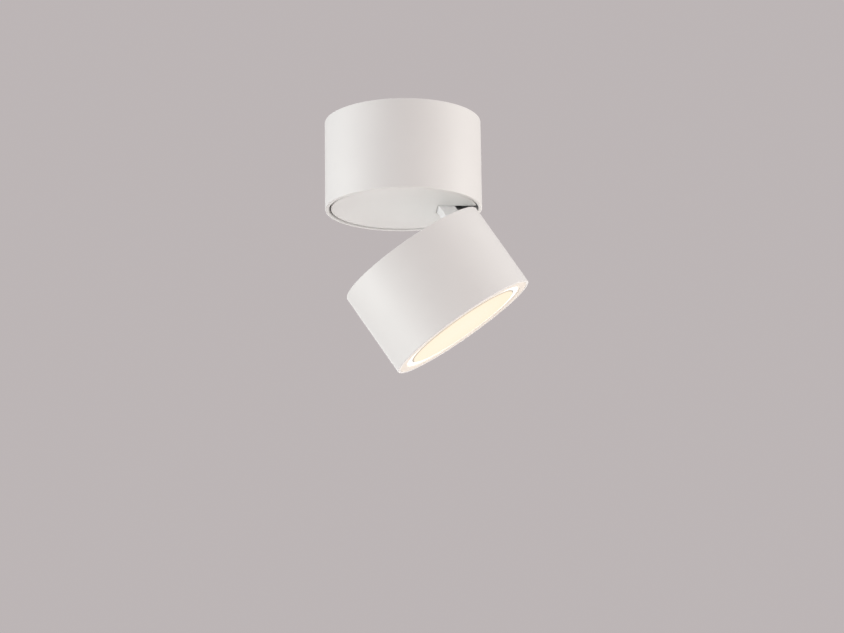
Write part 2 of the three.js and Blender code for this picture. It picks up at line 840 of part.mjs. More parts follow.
// Bracket over the slot's outer end, with two feet on the disc and a lug down to the tilt axis.
function hingeBracket() {
  const bottom = discTop + seatGap;
  const stem = [pivotReach - stemThickness, pivotReach];
  const wall = block(stem, [-bracketFar, bracketFar], [bottom, bottom + bracketHeight]);
  const feet = [-1, 1].map((side) => {
    const across = [side * bracketNear, side * bracketFar].sort((a, b) => a - b);
    const along = [pivotReach - stemThickness - bracketFootReach, pivotReach];
    return block(along, across, [bottom, bottom + bracketFootThickness]);
  });
  const lug = block(stem, [-lugWidth / 2, lugWidth / 2], [pivotLevel, bottom + bracketFootThickness]);
  const eye = barY(hingeEyeRadius, -lugWidth / 2, lugWidth / 2, smallSides, pivotReach, pivotLevel);
  const bore = barY(hingePinRadius + runningGap, -lugWidth, lugWidth, smallSides, pivotReach, pivotLevel);
  const holes = bracketScrewPlaces().map(([x, y]) => barZ(smallScrewRadius + threadGap,
    bottom - overrun, bottom + bracketFootThickness + overrun, smallSides, x, y));
  return cutBy(united([wall, ...feet, lug, eye]), [bore, ...holes]);
}

function bracketScrew([x, y]) {
  const seat = discTop + seatGap + bracketFootThickness + seatGap;
  return screwDown(smallScrewRadius, seat, discTop - bracketScrewDepth, x, y);
}

const armMiddle = (armNearSide + armFarSide) / 2;

// The arm ends below the bridge plate when the head is closed, and beside the hub when it is open.
const armRise = Math.min(
  hingeRoom + closedGap - armBridgeGap,
  (pivotReach - hubRadius - armHubGap - (pivotReach - armFarSide) * Math.cos(tiltWhenOpen))
    / Math.sin(tiltWhenOpen) - pivotDepth,
);

// A place on the cable's way out of the arm's window, at a distance past the arm's corner.
function leadExit(distance) {
  const x = armFarSide + cableRadius - distance * Math.sin(leadExitAngle);
  const z = armRise - cableRadius + distance * Math.cos(leadExitAngle);
  return [x, 0, z];
}

// Cable down the post, out of its window and across to the arm's window as the head hangs.
function swivelLead() {
  const windowMiddle = hubTop + seatGap + postWindowRise + postWindowHeight / 2;
  const points = [
    [0, 0, postTop],
    [0, 0, postTop - cableRadius],
    [0, 0, windowMiddle + 2 * postWindowHeight],
    [0, 0, windowMiddle + postWindowHeight],
    [postBore / 2, 0, windowMiddle + postWindowHeight / 3],
    [postShoulderRadius, 0, windowMiddle],
    fromHead(leadExit(leadFlexGap + cableRadius)),
    fromHead(leadExit(leadFlexGap)),
  ];
  return tube(points, cableRadius, wireSides);
}

// Head, in its own frame: its top face at zero, its lit face at minus its length

function headBossPlaces() {
  return Array.from({ length: headBossCount }, (_, i) => {
    const turn = headBossTurn + (i * 2 * Math.PI) / headBossCount;
    return [headBossReach * Math.cos(turn), headBossReach * Math.sin(turn)];
  });
}

function armScrewPlaces() {
  const x = armFarSide - armFlangeReach / 2;
  return [-1, 1].map((side) => [x, (side * armWidth) / 2]);
}

function headHousing() {
  const profile = [
    [0, 0],
    [lampRadius - headBevel, 0],
    [lampRadius, -headBevel],
    [lampRadius, -headLength + headBevel],
    [lampRadius - headBevel, -headLength],
    [headInner, -headLength],
    [headInner, -headWall],
    [0, -headWall],
  ];
  let housing = turned(profile.reverse(), largeSides);
  for (const [x, y] of headBossPlaces()) {
    const boss = barZ(headBossRadius, -heatSinkLevel + seatGap, -headWall / 2, smallSides, x, y);
    const hole = barZ(smallScrewRadius + threadGap, -heatSinkLevel - overrun,
      -heatSinkLevel + headScrewDepth + seatGap, smallSides, x, y);
    housing = housing.add(boss).subtract(hole);
  }
  const notch = block(
    [armFarSide - notchSideGap, headInner - runningGap],
    [-armWidth / 2 - notchSideGap, armWidth / 2 + notchSideGap],
    [-headWall - overrun, overrun],
  );
  const screwHoles = armScrewPlaces().map(([x, y]) => barZ(smallScrewRadius + threadGap,
    -headWall - overrun, overrun, smallSides, x, y));
  return cutBy(housing, [notch, ...screwHoles]);
}

// Hollow arm with a flange under the housing's top and two ears round the hinge pin.
function hingeArm() {
  const half = armWidth / 2;
  const bottom = -pivotDepth - hingeEyeRadius;
  const outline = [
    [armFarSide, bottom],
    [armNearSide, bottom],
    [armNearSide, armRise - armEdgeBevel],
    [armNearSide - armEdgeBevel, armRise],
    [armFarSide + armEdgeBevel, armRise],
    [armFarSide, armRise - armEdgeBevel],
  ];
  const post = prismY(outline, -half, half);
  const flangeTop = -headWall - seatGap;
  const flange = block(
    [armFarSide - armFlangeReach, armNearSide],
    [-half - armFlangeOverhang, half + armFlangeOverhang],
    [flangeTop - armFlangeThickness, flangeTop],
  );
  const ears = [-1, 1].map((side) => {
    const across = [side * earInner, side * half].sort((a, b) => a - b);
    const web = block([armNearSide - overrun, pivotReach], across,
      [-pivotDepth - hingeEyeRadius, -pivotDepth + hingeEyeRadius]);
    return web.add(barY(hingeEyeRadius, ...across, smallSides, pivotReach, -pivotDepth));
  });
  const channel = barZ(armChannelRadius, bottom - overrun, armRise + overrun, smallSides, armMiddle);
  const window = block(
    [armFarSide - overrun, armMiddle],
    [-armChannelRadius, armChannelRadius],
    [armRise - armWindowHeight, armRise + overrun],
  );
  const pinBore = barY(hingePinRadius + runningGap, -armWidth, armWidth, smallSides, pivotReach,
    -pivotDepth);
  const screwHoles = armScrewPlaces().map(([x, y]) => barZ(smallScrewRadius + threadGap,
    flangeTop - armFlangeThickness - overrun, overrun, smallSides, x, y));
  return cutBy(united([post, flange, ...ears]), [channel, window, pinBore, ...screwHoles]);
}

function armScrew([x, y]) {
  return screwDown(smallScrewRadius, runningGap, -headWall - seatGap - armFlangeThickness, x, y);
}

function hingePin() {
  const half = armWidth / 2;
  const headEnd = -half - runningGap;
  const shank = barY(hingePinRadius, headEnd - hingePinHeadHeight / 2, half + runningGap + hingeNutHeight,
    smallSides, pivotReach, -pivotDepth);
  const pinHead = barY(hingePinHeadRadius, headEnd - hingePinHeadHeight, headEnd, smallSides, pivotReach,
    -pivotDepth);
  return shank.add(pinHead);
}

function hingeNut() {
  const low = armWidth / 2 + runningGap;
  const hexagon = barY(hingeNutRadius, low, low + hingeNutHeight, hexagonSides, pivotReach,
    -pivotDepth);
  return hexagon.subtract(barY(hingePinRadius + runningGap, low - overrun, low + hingeNutHeight + overrun,
    smallSides, pivotReach, -pivotDepth));
}

function hingeWasher(side) {
  const across = [
    side * (lugWidth / 2 + runningGap),
    side * (lugWidth / 2 + runningGap + hingeWasherThickness),
  ].sort((a, b) => a - b);
  const ring = barY(hingeEyeRadius - runningGap, ...across, smallSides, pivotReach, -pivotDepth);
  return ring.subtract(barY(hingePinRadius + runningGap, -armWidth, armWidth, smallSides, pivotReach,
    -pivotDepth));
}

// Heat sink: a round base with fins up to the housing's top, cleared round the hinge.
function heatSink() {
  const base = barZ(heatSinkRadius, heatSinkBottom, -heatSinkLevel, largeSides);
  const finTop = -headWall - finTopGap;
  const finsEachSide = Math.floor((heatSinkRadius - finEdgeInset) / finPitch);
  const fins = [];
  for (let i = -finsEachSide; i <= finsEachSide; i += 1) {
    const across = [i * finPitch - finThickness / 2, i * finPitch + finThickness / 2];
    fins.push(block([-heatSinkRadius, heatSinkRadius], across, [-heatSinkLevel - overrun, finTop]));
  }
  const round = barZ(heatSinkRadius, heatSinkBottom, finTop, largeSides);
  const clearHalf = armWidth / 2 + armFlangeOverhang + finHingeGap;
  const hingeRoomBelow = block(
    [armFarSide - armFlangeReach - finHingeGap, lampRadius],
    [-clearHalf, clearHalf],
    [-pivotDepth - hingeEyeRadius - finHingeGap, 0],
  );
  const leadRoom = block(
    [leadHoleReach - 2 * leadHoleRadius, lampRadius],
    [-2 * leadHoleRadius, 2 * leadHoleRadius],
    [-heatSinkLevel, 0],
  );
  const bossRooms = headBossPlaces().map(([x, y]) => barZ(headBossRadius + seatGap,
    -heatSinkLevel, 0, smallSides, x, y));
  const screwHoles = headBossPlaces().map(([x, y]) => barZ(smallScrewRadius + threadGap,
    heatSinkBottom - overrun, 0, smallSides, x, y));
  const leadHoleEnds = [leadHoleReach - leadHoleLength, leadHoleReach];
  const leadHole = united([
    block(leadHoleEnds, [-leadHoleRadius, leadHoleRadius], [heatSinkBottom - overrun, 0]),
    ...leadHoleEnds.map((x) => barZ(leadHoleRadius, heatSinkBottom - overrun, 0, smallSides, x)),
  ]);
  const boardHoles = boardScrewPlaces().map(([x, y]) => barZ(smallScrewRadius + threadGap,
    heatSinkBottom - overrun, heatSinkBottom + boardScrewDepth + seatGap, smallSides, x, y));
  const finned = cutBy(united(fins).intersect(round), [hingeRoomBelow, leadRoom, ...bossRooms]);
  return cutBy(base.add(finned), [...screwHoles, leadHole, ...boardHoles]);
}

function heatSinkScrew([x, y]) {
  return screwUp(smallScrewRadius, heatSinkBottom - seatGap, -heatSinkLevel + headScrewDepth, x, y);
}

function boardScrewPlaces() {
  return [-1, 1].map((side) => [0, side * boardScrewReach]);
}

function ledBoard() {
  const board = barZ(ledBoardRadius, ledBoardTop - ledBoardThickness, ledBoardTop, mediumSides);
  return cutBy(board, boardScrewPlaces().map(([x, y]) => barZ(smallScrewRadius + threadGap,
    ledBoardTop - ledBoardThickness - overrun, ledBoardTop + overrun, smallSides, x, y)));
}

function ledEmitter() {
  return barZ(ledEmitterRadius, ledEmitterTop - ledEmitterThickness, ledEmitterTop, mediumSides);
}

function boardScrew([x, y]) {
  const seat = ledBoardTop - ledBoardThickness - seatGap;
  return screwUp(smallScrewRadius, seat, heatSinkBottom + boardScrewDepth, x, y);
}

const reflectorThroatLevel = ledBoardTop - ledBoardThickness - screwHeadShare * smallScrewRadius
  - seatGap;

// Cone from the emitter to the diffuser, with a flange that rests on the diffuser.
function reflector() {
  const flangeTop = reflectorFlangeBottom + reflectorFlangeThickness;
  const profile = [
    [reflectorThroatRadius, reflectorThroatLevel],
    [reflectorMouthRadius, reflectorFlangeBottom],
    [headSeatRadius - seatGap, reflectorFlangeBottom],
    [headSeatRadius - seatGap, flangeTop],
    [reflectorMouthRadius + reflectorWall, flangeTop],
    [reflectorThroatRadius + reflectorWall, reflectorThroatLevel],
  ];
  return turned(profile, largeSides);
}

// Stepped opal disc: its nose fills the ring and its flange rests behind it.
function diffuser() {
  const flangeBottom = ringFlangeTop + seatGap;
  const innerLevel = diffuserFront + diffuserThickness;
  const profile = [
    [0, diffuserFront],
    [diffuserNoseRadius, diffuserFront],
    [diffuserNoseRadius, flangeBottom],
    [diffuserNoseRadius + diffuserLap, flangeBottom],
    [diffuserNoseRadius + diffuserLap, diffuserBack],
    [diffuserInnerRadius, diffuserBack],
    [diffuserInnerRadius, innerLevel],
    [0, innerLevel],
  ];
  return turned(profile, largeSides);
}

function diffuserRing() {
  const front = -headLength + ringRecess;
  const nose = bezelInnerRadius - runningGap;
  const profile = [
    [ringInnerRadius, front],
    [nose, front],
    [nose, ringFlangeBottom],
    [headSeatRadius - seatGap, ringFlangeBottom],
    [headSeatRadius - seatGap, ringFlangeTop],
    [ringInnerRadius, ringFlangeTop],
  ];
  return turned(profile, largeSides);
}

function frontBezel() {
  const back = bezelFront + bezelThickness;
  const profile = [
    [bezelInnerRadius, bezelFront + bezelChamfer],
    [bezelInnerRadius + bezelChamfer, bezelFront],
    [headSeatRadius, bezelFront],
    [headSeatRadius, back],
    [bezelInnerRadius, back],
  ];
  return turned(profile, largeSides);
}

// Cable down the arm and through the heat sink's base to the LED board's edge.
function headLead() {
  const beside = heatSinkBottom - seatGap - cableRadius;
  const points = [
    leadExit(0),
    leadExit(-cableRadius),
    [armMiddle, 0, armRise / 2],
    [armMiddle, 0, 0],
    [armMiddle, 0, -pivotDepth - hingeEyeRadius],
    [(armMiddle + leadHoleReach) / 2, 0, (-pivotDepth - hingeEyeRadius - heatSinkLevel) / 2],
    [leadHoleReach, 0, -heatSinkLevel],
    [leadHoleReach - leadHoleLength / 2, 0, heatSinkBottom],
    [leadHoleReach - leadHoleLength, 0, beside],
    [ledBoardRadius + cableRadius, 0, beside],
    [ledBoardRadius + seatGap, 0, beside],
  ];
  return tube(points, cableRadius, wireSides);
}

place(canopy, 'mounting_plate', mountingPlate(), zincSteel);
place(canopy, 'cable_grommet', cableGrommet(), blackRubber);
place(canopy, 'earth_screw', earthScrew(), brassMetal);
place(canopy, 'canopy_housing', canopyHousing(), whitePowder);
place(canopy, 'canopy_screw_left', canopyScrew(-1), zincSteel);
place(canopy, 'canopy_screw_right', canopyScrew(1), zincSteel);
place(canopy, 'bridge_plate', bridgePlate(), zincSteel);
bridgeScrewTurns().forEach((turn, i) => place(canopy, `bridge_screw_${i + 1}`, bridgeScrew(turn), zincSteel));
place(canopy, 'stop_pin', stopPin(), zincSteel);
place(canopy, 'terminal_block', terminalBlock(), whitePlastic);
terminalPlaces().forEach((x, i) => place(canopy, `terminal_screw_${i + 1}`, terminalScrew(x), brassMetal));
place(canopy, 'terminal_fixing_screw', terminalFixingScrew(), zincSteel);
place(canopy, 'driver_base', driverBase(), whitePlastic);
place(canopy, 'driver_board', driverBoard(), greenBoard);
place(canopy, 'driver_cover', driverCover(), whitePlastic);
['driver_screw_left', 'driver_screw_right'].forEach((name, i) =>
  place(canopy, name, driverScrew(driverScrewPlaces()[i]), zincSteel));
place(canopy, 'mains_wire_live', mainsWire(0, 1), brownSheath);
place(canopy, 'mains_wire_neutral', mainsWire(1, 0), blueSheath);
place(canopy, 'earth_wire', earthWire(), greenSheath);
place(canopy, 'output_cable', outputCable(), whiteSheath);

place(turntable, 'turntable_disc', turntableDisc(), whitePowder);
place(turntable, 'swivel_post', swivelPost(), zincSteel);
place(turntable, 'swivel_washer', swivelWasher(), nylon);
place(turntable, 'stop_washer', stopWasher(), zincSteel);
place(turntable, 'swivel_nut', swivelNut(), brassMetal);
place(turntable, 'hinge_bracket', hingeBracket(), zincSteel);
['bracket_screw_near', 'bracket_screw_far'].forEach((name, i) =>
  place(turntable, name, bracketScrew(bracketScrewPlaces()[i]), zincSteel));
place(turntable, 'swivel_lead', swivelLead(), whiteSheath);

place(head, 'head_housing', headHousing(), whitePowder);
place(head, 'hinge_arm', hingeArm(), whitePowder);
['arm_screw_near', 'arm_screw_far'].forEach((name, i) =>
  place(head, name, armScrew(armScrewPlaces()[i]), zincSteel));
place(head, 'hinge_pin', hingePin(), zincSteel);
place(head, 'hinge_nut', hingeNut(), zincSteel);
place(head, 'hinge_washer_near', hingeWasher(-1), nylon);
place(head, 'hinge_washer_far', hingeWasher(1), nylon);
place(head, 'heat_sink', heatSink(), bareAluminium);
headBossPlaces().forEach((spot, i) => place(head, `heat_sink_screw_${i + 1}`, heatSinkScrew(spot), zincSteel));
place(head, 'led_board', ledBoard(), whitePlastic);
place(head, 'led_emitter', ledEmitter(), phosphor);
['board_screw_near', 'board_screw_far'].forEach((name, i) =>
  place(head, name, boardScrew(boardScrewPlaces()[i]), zincSteel));
place(head, 'reflector', reflector(), whitePlastic);
place(head, 'diffuser', diffuser(), opal);
place(head, 'diffuser_ring', diffuserRing(), whitePlastic);
place(head, 'front_bezel', frontBezel(), whitePowder);
place(head, 'head_lead', headLead(), whiteSheath);

export default lamp;
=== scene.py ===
"""Surface mounted ceiling spotlight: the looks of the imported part, laid out as an add-on and run as a script.

Shapes are worked out in millimetres in the CAD's frame, and their meshes are put down in metres. Pieces of
the lamp head are worked out in the head's own frame, its top face at level zero, and are then opened by the
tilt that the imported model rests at.
"""

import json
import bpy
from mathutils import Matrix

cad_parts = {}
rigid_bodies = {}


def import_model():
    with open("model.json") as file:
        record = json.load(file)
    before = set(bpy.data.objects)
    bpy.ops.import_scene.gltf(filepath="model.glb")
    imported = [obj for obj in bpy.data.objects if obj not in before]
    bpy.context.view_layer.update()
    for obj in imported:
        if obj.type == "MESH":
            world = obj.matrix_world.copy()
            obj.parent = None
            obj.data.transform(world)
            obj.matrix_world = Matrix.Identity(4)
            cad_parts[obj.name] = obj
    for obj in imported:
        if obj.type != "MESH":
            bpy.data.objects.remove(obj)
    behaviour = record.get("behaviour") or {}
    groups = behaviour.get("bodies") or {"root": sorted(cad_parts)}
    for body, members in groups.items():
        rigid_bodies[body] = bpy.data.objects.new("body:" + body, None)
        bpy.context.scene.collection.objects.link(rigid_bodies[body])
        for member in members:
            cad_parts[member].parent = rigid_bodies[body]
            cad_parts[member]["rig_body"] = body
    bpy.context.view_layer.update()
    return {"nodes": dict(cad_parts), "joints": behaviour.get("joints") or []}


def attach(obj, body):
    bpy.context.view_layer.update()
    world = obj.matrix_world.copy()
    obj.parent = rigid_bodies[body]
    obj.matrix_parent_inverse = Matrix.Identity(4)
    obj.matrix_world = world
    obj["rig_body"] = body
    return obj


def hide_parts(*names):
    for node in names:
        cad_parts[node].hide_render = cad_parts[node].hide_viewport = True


bl_info = {
    "name": "Ceiling Spotlight",
    "version": (1, 0, 0),
    "blender": (4, 5, 0),
    "location": "View3D > Sidebar > Spotlight",
    "description": "Builds the pieces of a surface mounted ceiling spotlight round its CAD frame",
    "category": "Add Mesh",
}

from functools import lru_cache
from math import acos, asin, cos, pi, radians, sin, sqrt, tan

import bmesh
import bpy
import numpy as np
from bpy.props import FloatProperty, FloatVectorProperty, PointerProperty
from mathutils import Matrix, Vector
from mathutils.geometry import delaunay_2d_cdt

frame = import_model()

MM = 0.001

# Clearances and small measures of the CAD, in millimetres
SEAT = 0.3
RUNNING = 0.2
THREAD = 0.25
OVER = 1.0
SMALL_SCREW = 1.2
MEDIUM_SCREW = 1.5
WIRE = 0.9
CABLE = 1.7
SPACING = 3.2
SMALL_HOLE = SMALL_SCREW + THREAD
HINGE_BORE = 1.45
GRUB_HOLE = 1.75
GRUB_LEVEL = -8.0
PLATE = 1.5
SHEET = 2.0
WASHER = 0.8
EYE = 3.0
CANOPY_WALL = 2.2
HEAD_WALL = 1.6
NARROW = 0.02

# Places of the tilt hinge and of the head on it
tilt_joint = next(joint for joint in frame["joints"] if joint["name"] == "tilt")
PIVOT = np.array(tilt_joint["pos_m"]) / MM
REST_TILT = radians(-tilt_joint["range_deg"][0])


def tilted(points, angle):
    """Points about the pivot, opened by an angle: x' = x cos - z sin and z' = z cos + x sin."""
    x, y, z = points.T
    return np.stack([x * cos(angle) - z * sin(angle), y, z * cos(angle) + x * sin(angle)], -1)


def cad_points(node):
    """Points of a CAD node in millimetres, those of a head piece about the pivot with the head closed."""
    vertices = frame["nodes"][node].data.vertices
    points = np.empty(len(vertices) * 3, np.float32)
    vertices.foreach_get("co", points)
    points = points.reshape(-1, 3).astype(float) / MM
    return tilted(points - PIVOT, -REST_TILT) if frame["nodes"][node]["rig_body"] == "head" else points


PIVOT_DEPTH = cad_points("head_housing")[:, 2].max()
HEAD_ORIGIN = np.array([PIVOT[0], 0, -PIVOT_DEPTH])


def span(node, axis):
    """Lowest and highest place of a CAD node along an axis, a head piece in the head's own frame."""
    points = cad_points(node)
    if frame["nodes"][node]["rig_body"] == "head":
        points = points + HEAD_ORIGIN
    return points[:, axis].min(), points[:, axis].max()


def opened(points):
    """Places in the head's own frame as places in the lamp's frame: turned about the pivot by the rest tilt."""
    return tilted(np.asarray(points, float) - HEAD_ORIGIN, REST_TILT) + PIVOT


LAMP_RADIUS = span("canopy_housing", 0)[1]
RIM_LEVEL = span("canopy_housing", 2)[0]
CANOPY_INNER = LAMP_RADIUS - CANOPY_WALL
BRIDGE_LOW, BRIDGE_HIGH = span("bridge_plate", 2)
DISC_RADIUS = -span("turntable_disc", 0)[0]
DISC_LOW = span("turntable_disc", 2)[0]
DISC_HIGH = DISC_LOW + 3
DISC_FLOOR = DISC_LOW + 1.4
HUB_TOP = span("turntable_disc", 2)[1]
POST_TOP = span("swivel_post", 2)[1]
POST_RADIUS = 5.0
POST_BORE = 3.0
WINDOW_LOW = HUB_TOP + SEAT + 0.6
WINDOW_HEIGHT = 6.4
HEAD_LENGTH = -span("head_housing", 2)[0]
HEAD_INNER = LAMP_RADIUS - HEAD_WALL
ARM_FAR = 26.9
ARM_NEAR = 34.6
ARM_MIDDLE = (ARM_FAR + ARM_NEAR) / 2
ARM_HALF = span("hinge_arm", 1)[1] - 3.5
ARM_TOP = span("hinge_arm", 2)[1]
ARM_LOW = -PIVOT_DEPTH - EYE
FLANGE_TOP = -HEAD_WALL - SEAT
FLANGE_LOW = FLANGE_TOP - 2.2
LUG_HALF = 4.0
SLOT_HALF = ARM_HALF + 0.85
DRIVER_LOW, DRIVER_HIGH = span("driver_cover", 2)
DRIVER_HALF = span("driver_cover", 0)[1]
DRIVER_NEAR, DRIVER_FAR = span("driver_cover", 1)
DRIVER_MIDDLE = (DRIVER_NEAR + DRIVER_FAR) / 2
DRIVER_LEVEL = (DRIVER_LOW + DRIVER_HIGH) / 2
DRIVER_EAR = 4.0
TERMINAL_LOW, TERMINAL_HIGH = span("terminal_block", 2)
TERMINAL_BACK, TERMINAL_FRONT = span("terminal_block", 1)
TERMINAL_MIDDLE = (TERMINAL_BACK + TERMINAL_FRONT) / 2
POLE_LEVEL = TERMINAL_LOW + 4.5
POLE_SPACING = 9.0
SINK_RADIUS = 37.5
SINK_LOW = span("heat_sink", 2)[0]
SINK_BASE_TOP = SINK_LOW + 4
BRIDGE_TURNS = np.radians((90, 210, 330))
BRIDGE_REACH = 39.34
BRIDGE_LUG = 6.0
DRIVER_EARS = [(side * (DRIVER_HALF + DRIVER_EAR), DRIVER_MIDDLE) for side in (-1, 1)]
TERMINAL_SCREW = (POLE_SPACING / 2, TERMINAL_MIDDLE)
EARTH_SCREW = (15, -11)
CEILING_SLOTS = [(-25, 0), (25, 0)]
CABLE_INLET = (0, 9)
BRACKET_SCREWS = [(31.6, -10.45), (31.6, 10.45)]
ARM_SCREWS = [(22.4, -6.75), (22.4, 6.75)]
BOARD_SCREWS = [(0, -11), (0, 11)]
BOSS_TURNS = np.radians((60, 180, 300))
BOSSES = 33 * np.stack([np.cos(BOSS_TURNS), np.sin(BOSS_TURNS)], 1)
BOARD_RADIUS = 14.0
LEAD_HOLE = 22.0
LENS_RADIUS = span("diffuser", 0)[1] - 4
FACE_REACH = 42.0


# Solids


class Solid:
    """A closed surface in millimetres: points, the quads and triangles over them, and a mark on each point."""

    def __init__(self, points, quads=(), triangles=(), marks=None):
        self.points = np.asarray(points, float).reshape(-1, 3)
        self.quads = np.asarray(quads, int).reshape(-1, 4)
        self.triangles = np.asarray(triangles, int).reshape(-1, 3)
        self.marks = np.zeros(len(self.points)) if marks is None else np.asarray(marks, float)

    def shaped(self, points):
        """The same faces over other points."""
        return Solid(points, self.quads, self.triangles, self.marks)

    def moved(self, x=0.0, y=0.0, z=0.0):
        """The solid moved along the axes."""
        return self.shaped(self.points + (x, y, z))

    def turned(self, angle):
        """The solid turned about the vertical."""
        x, y, z = self.points.T
        return self.shaped(np.stack([x * cos(angle) - y * sin(angle), x * sin(angle) + y * cos(angle), z], 1))

    def flipped(self):
        """The solid turned over about X."""
        return self.shaped(self.points * (1, -1, -1))

    def along_x(self):
        """The solid with its upright axis laid along X, its X along Y and its Y upright."""
        return self.shaped(self.points[:, [2, 0, 1]])

    def along_y(self):
        """The solid with its upright axis laid along Y, its Y along X and its X upright."""
        return self.shaped(self.points[:, [1, 2, 0]])


def welded(points, quads, triangles=(), marks=None):
    """The solid with coinciding points made one: poles and seams close, and flattened quads become triangles."""
    points = np.asarray(points, float).reshape(-1, 3)
    marks = np.zeros(len(points)) if marks is None else np.asarray(marks, float).reshape(-1)
    _, first, place = np.unique(np.round(points, 6), axis=0, return_index=True, return_inverse=True)
    place = place.reshape(-1)
    corners = place[np.asarray(quads, int).reshape(-1, 4)]
    same = corners == np.roll(corners, -1, axis=1)
    pinched = same.sum(1) == 1
    kept = (same[pinched].argmax(1)[:, None] + [1, 2, 3]) % 4
    loose = place[np.asarray(triangles, int).reshape(-1, 3)]
    loose = np.vstack([loose, np.take_along_axis(corners[pinched], kept, 1)])
    flat = (loose == np.roll(loose, -1, axis=1)).any(1)
    return outwards(Solid(points[first], corners[~same.any(1)], loose[~flat], marks[first]))


def outwards(solid):
    """The solid with its faces turned outwards, by the sign of the volume that they enclose."""
    a, b, c, d = solid.quads.T
    faces = np.vstack([solid.triangles, np.stack([a, b, c], 1), np.stack([a, c, d], 1)])
    one, two, three = (solid.points[faces[:, i]] for i in range(3))
    if np.einsum("ij,ij->i", one, np.cross(two, three)).sum() < 0:
        return Solid(solid.points, solid.quads[:, ::-1], solid.triangles[:, ::-1], solid.marks)
    return solid


def quads_over(number):
    """The quads over a grid of point numbers."""
    return np.stack([number[:-1, :-1], number[:-1, 1:], number[1:, 1:], number[1:, :-1]], -1).reshape(-1, 4)


def skin(grid, rows_close=False, marks=None):
    """A surface over a grid of points whose columns close round, and its rows too if asked."""
    number = np.arange(grid.shape[0] * grid.shape[1]).reshape(grid.shape[:2])
    if rows_close:
        number = np.vstack([number, number[:1]])
    return welded(grid, quads_over(np.hstack([number, number[:, :1]])), marks=marks)


def round_steps(radius):
    """How many steps a circle is drawn in: more for a larger one, always a multiple of four."""
    return 4 * int(np.clip(6 + 1.1 * radius, 6, 48))


def softened(corners, radius=0.0, steps=4):
    """An outline with rounded corners. Each corner gives way to the arc that touches both of its sides, with
    one more point on each side just past the arc, so that flat sides stay flat when shaded. A third number
    on a corner is its own radius. An array is an outline that is finished."""
    if isinstance(corners, np.ndarray) and not radius:
        return corners
    spots = np.array([corner[:2] for corner in corners], float)
    radii = [corner[2] if len(corner) > 2 else radius for corner in corners]
    outline = []
    for spot, before, after, size in zip(spots, np.roll(spots, 1, 0), np.roll(spots, -1, 0), radii):
        if size <= 0:
            outline.append(spot[None])
            continue
        back, on = before - spot, after - spot
        room = min(np.hypot(*back), np.hypot(*on))
        back, on = back / np.hypot(*back), on / np.hypot(*on)
        half = acos(np.clip(back @ on, -1, 1)) / 2
        if not radians(1) <= half <= radians(89):
            outline.append(spot[None])
            continue
        reach = min(size / tan(half), 0.46 * room)
        middle = spot + (back + on) / np.hypot(*(back + on)) * reach / cos(half)
        start, end = spot + back * reach - middle, spot + on * reach - middle
        turn, share = pi - 2 * half, np.linspace(0, 1, steps + 1)[:, None]
        arc = (start * np.sin((1 - share) * turn) + end * np.sin(share * turn)) / sin(turn)
        past = min(reach * 0.4, 0.08 * room, 0.49 * room - reach)
        outline += [(spot + back * (reach + past))[None], middle + arc, (spot + on * (reach + past))[None]]
    return np.vstack(outline)


def turned(profile, steps=0, bends=4, ripple=None):
    """A turned piece: each point of the profile, a radius and a level, is carried once round the vertical in
    even steps, and its rounded corners have so many bends. A ripple takes the level and the angle and gives
    how far the radius draws in there."""
    profile = softened(profile, steps=bends)
    turn = np.arange(steps or round_steps(profile[:, 0].max())) * (2 * pi)
    turn = turn / len(turn)
    radius, level = (np.repeat(column[:, None], len(turn), 1) for column in profile.T)
    if ripple is not None:
        radius = radius - ripple(level, turn[None, :]) * (radius > 0)
    grid = np.stack([radius * np.cos(turn), radius * np.sin(turn), level], -1)
    return skin(grid, rows_close=max(profile[0, 0], profile[-1, 0]) > 0)


def left_of(loop, outer):
    """The loop's points in the order that has the material on its left, without points that repeat."""
    loop = np.asarray(loop, float)
    loop = loop[np.hypot(*(loop - np.roll(loop, 1, 0)).T) > 1e-6]
    x, y = loop.T
    area = (x * np.roll(y, -1) - y * np.roll(x, -1)).sum()
    return loop if (area > 0) == outer else loop[::-1]


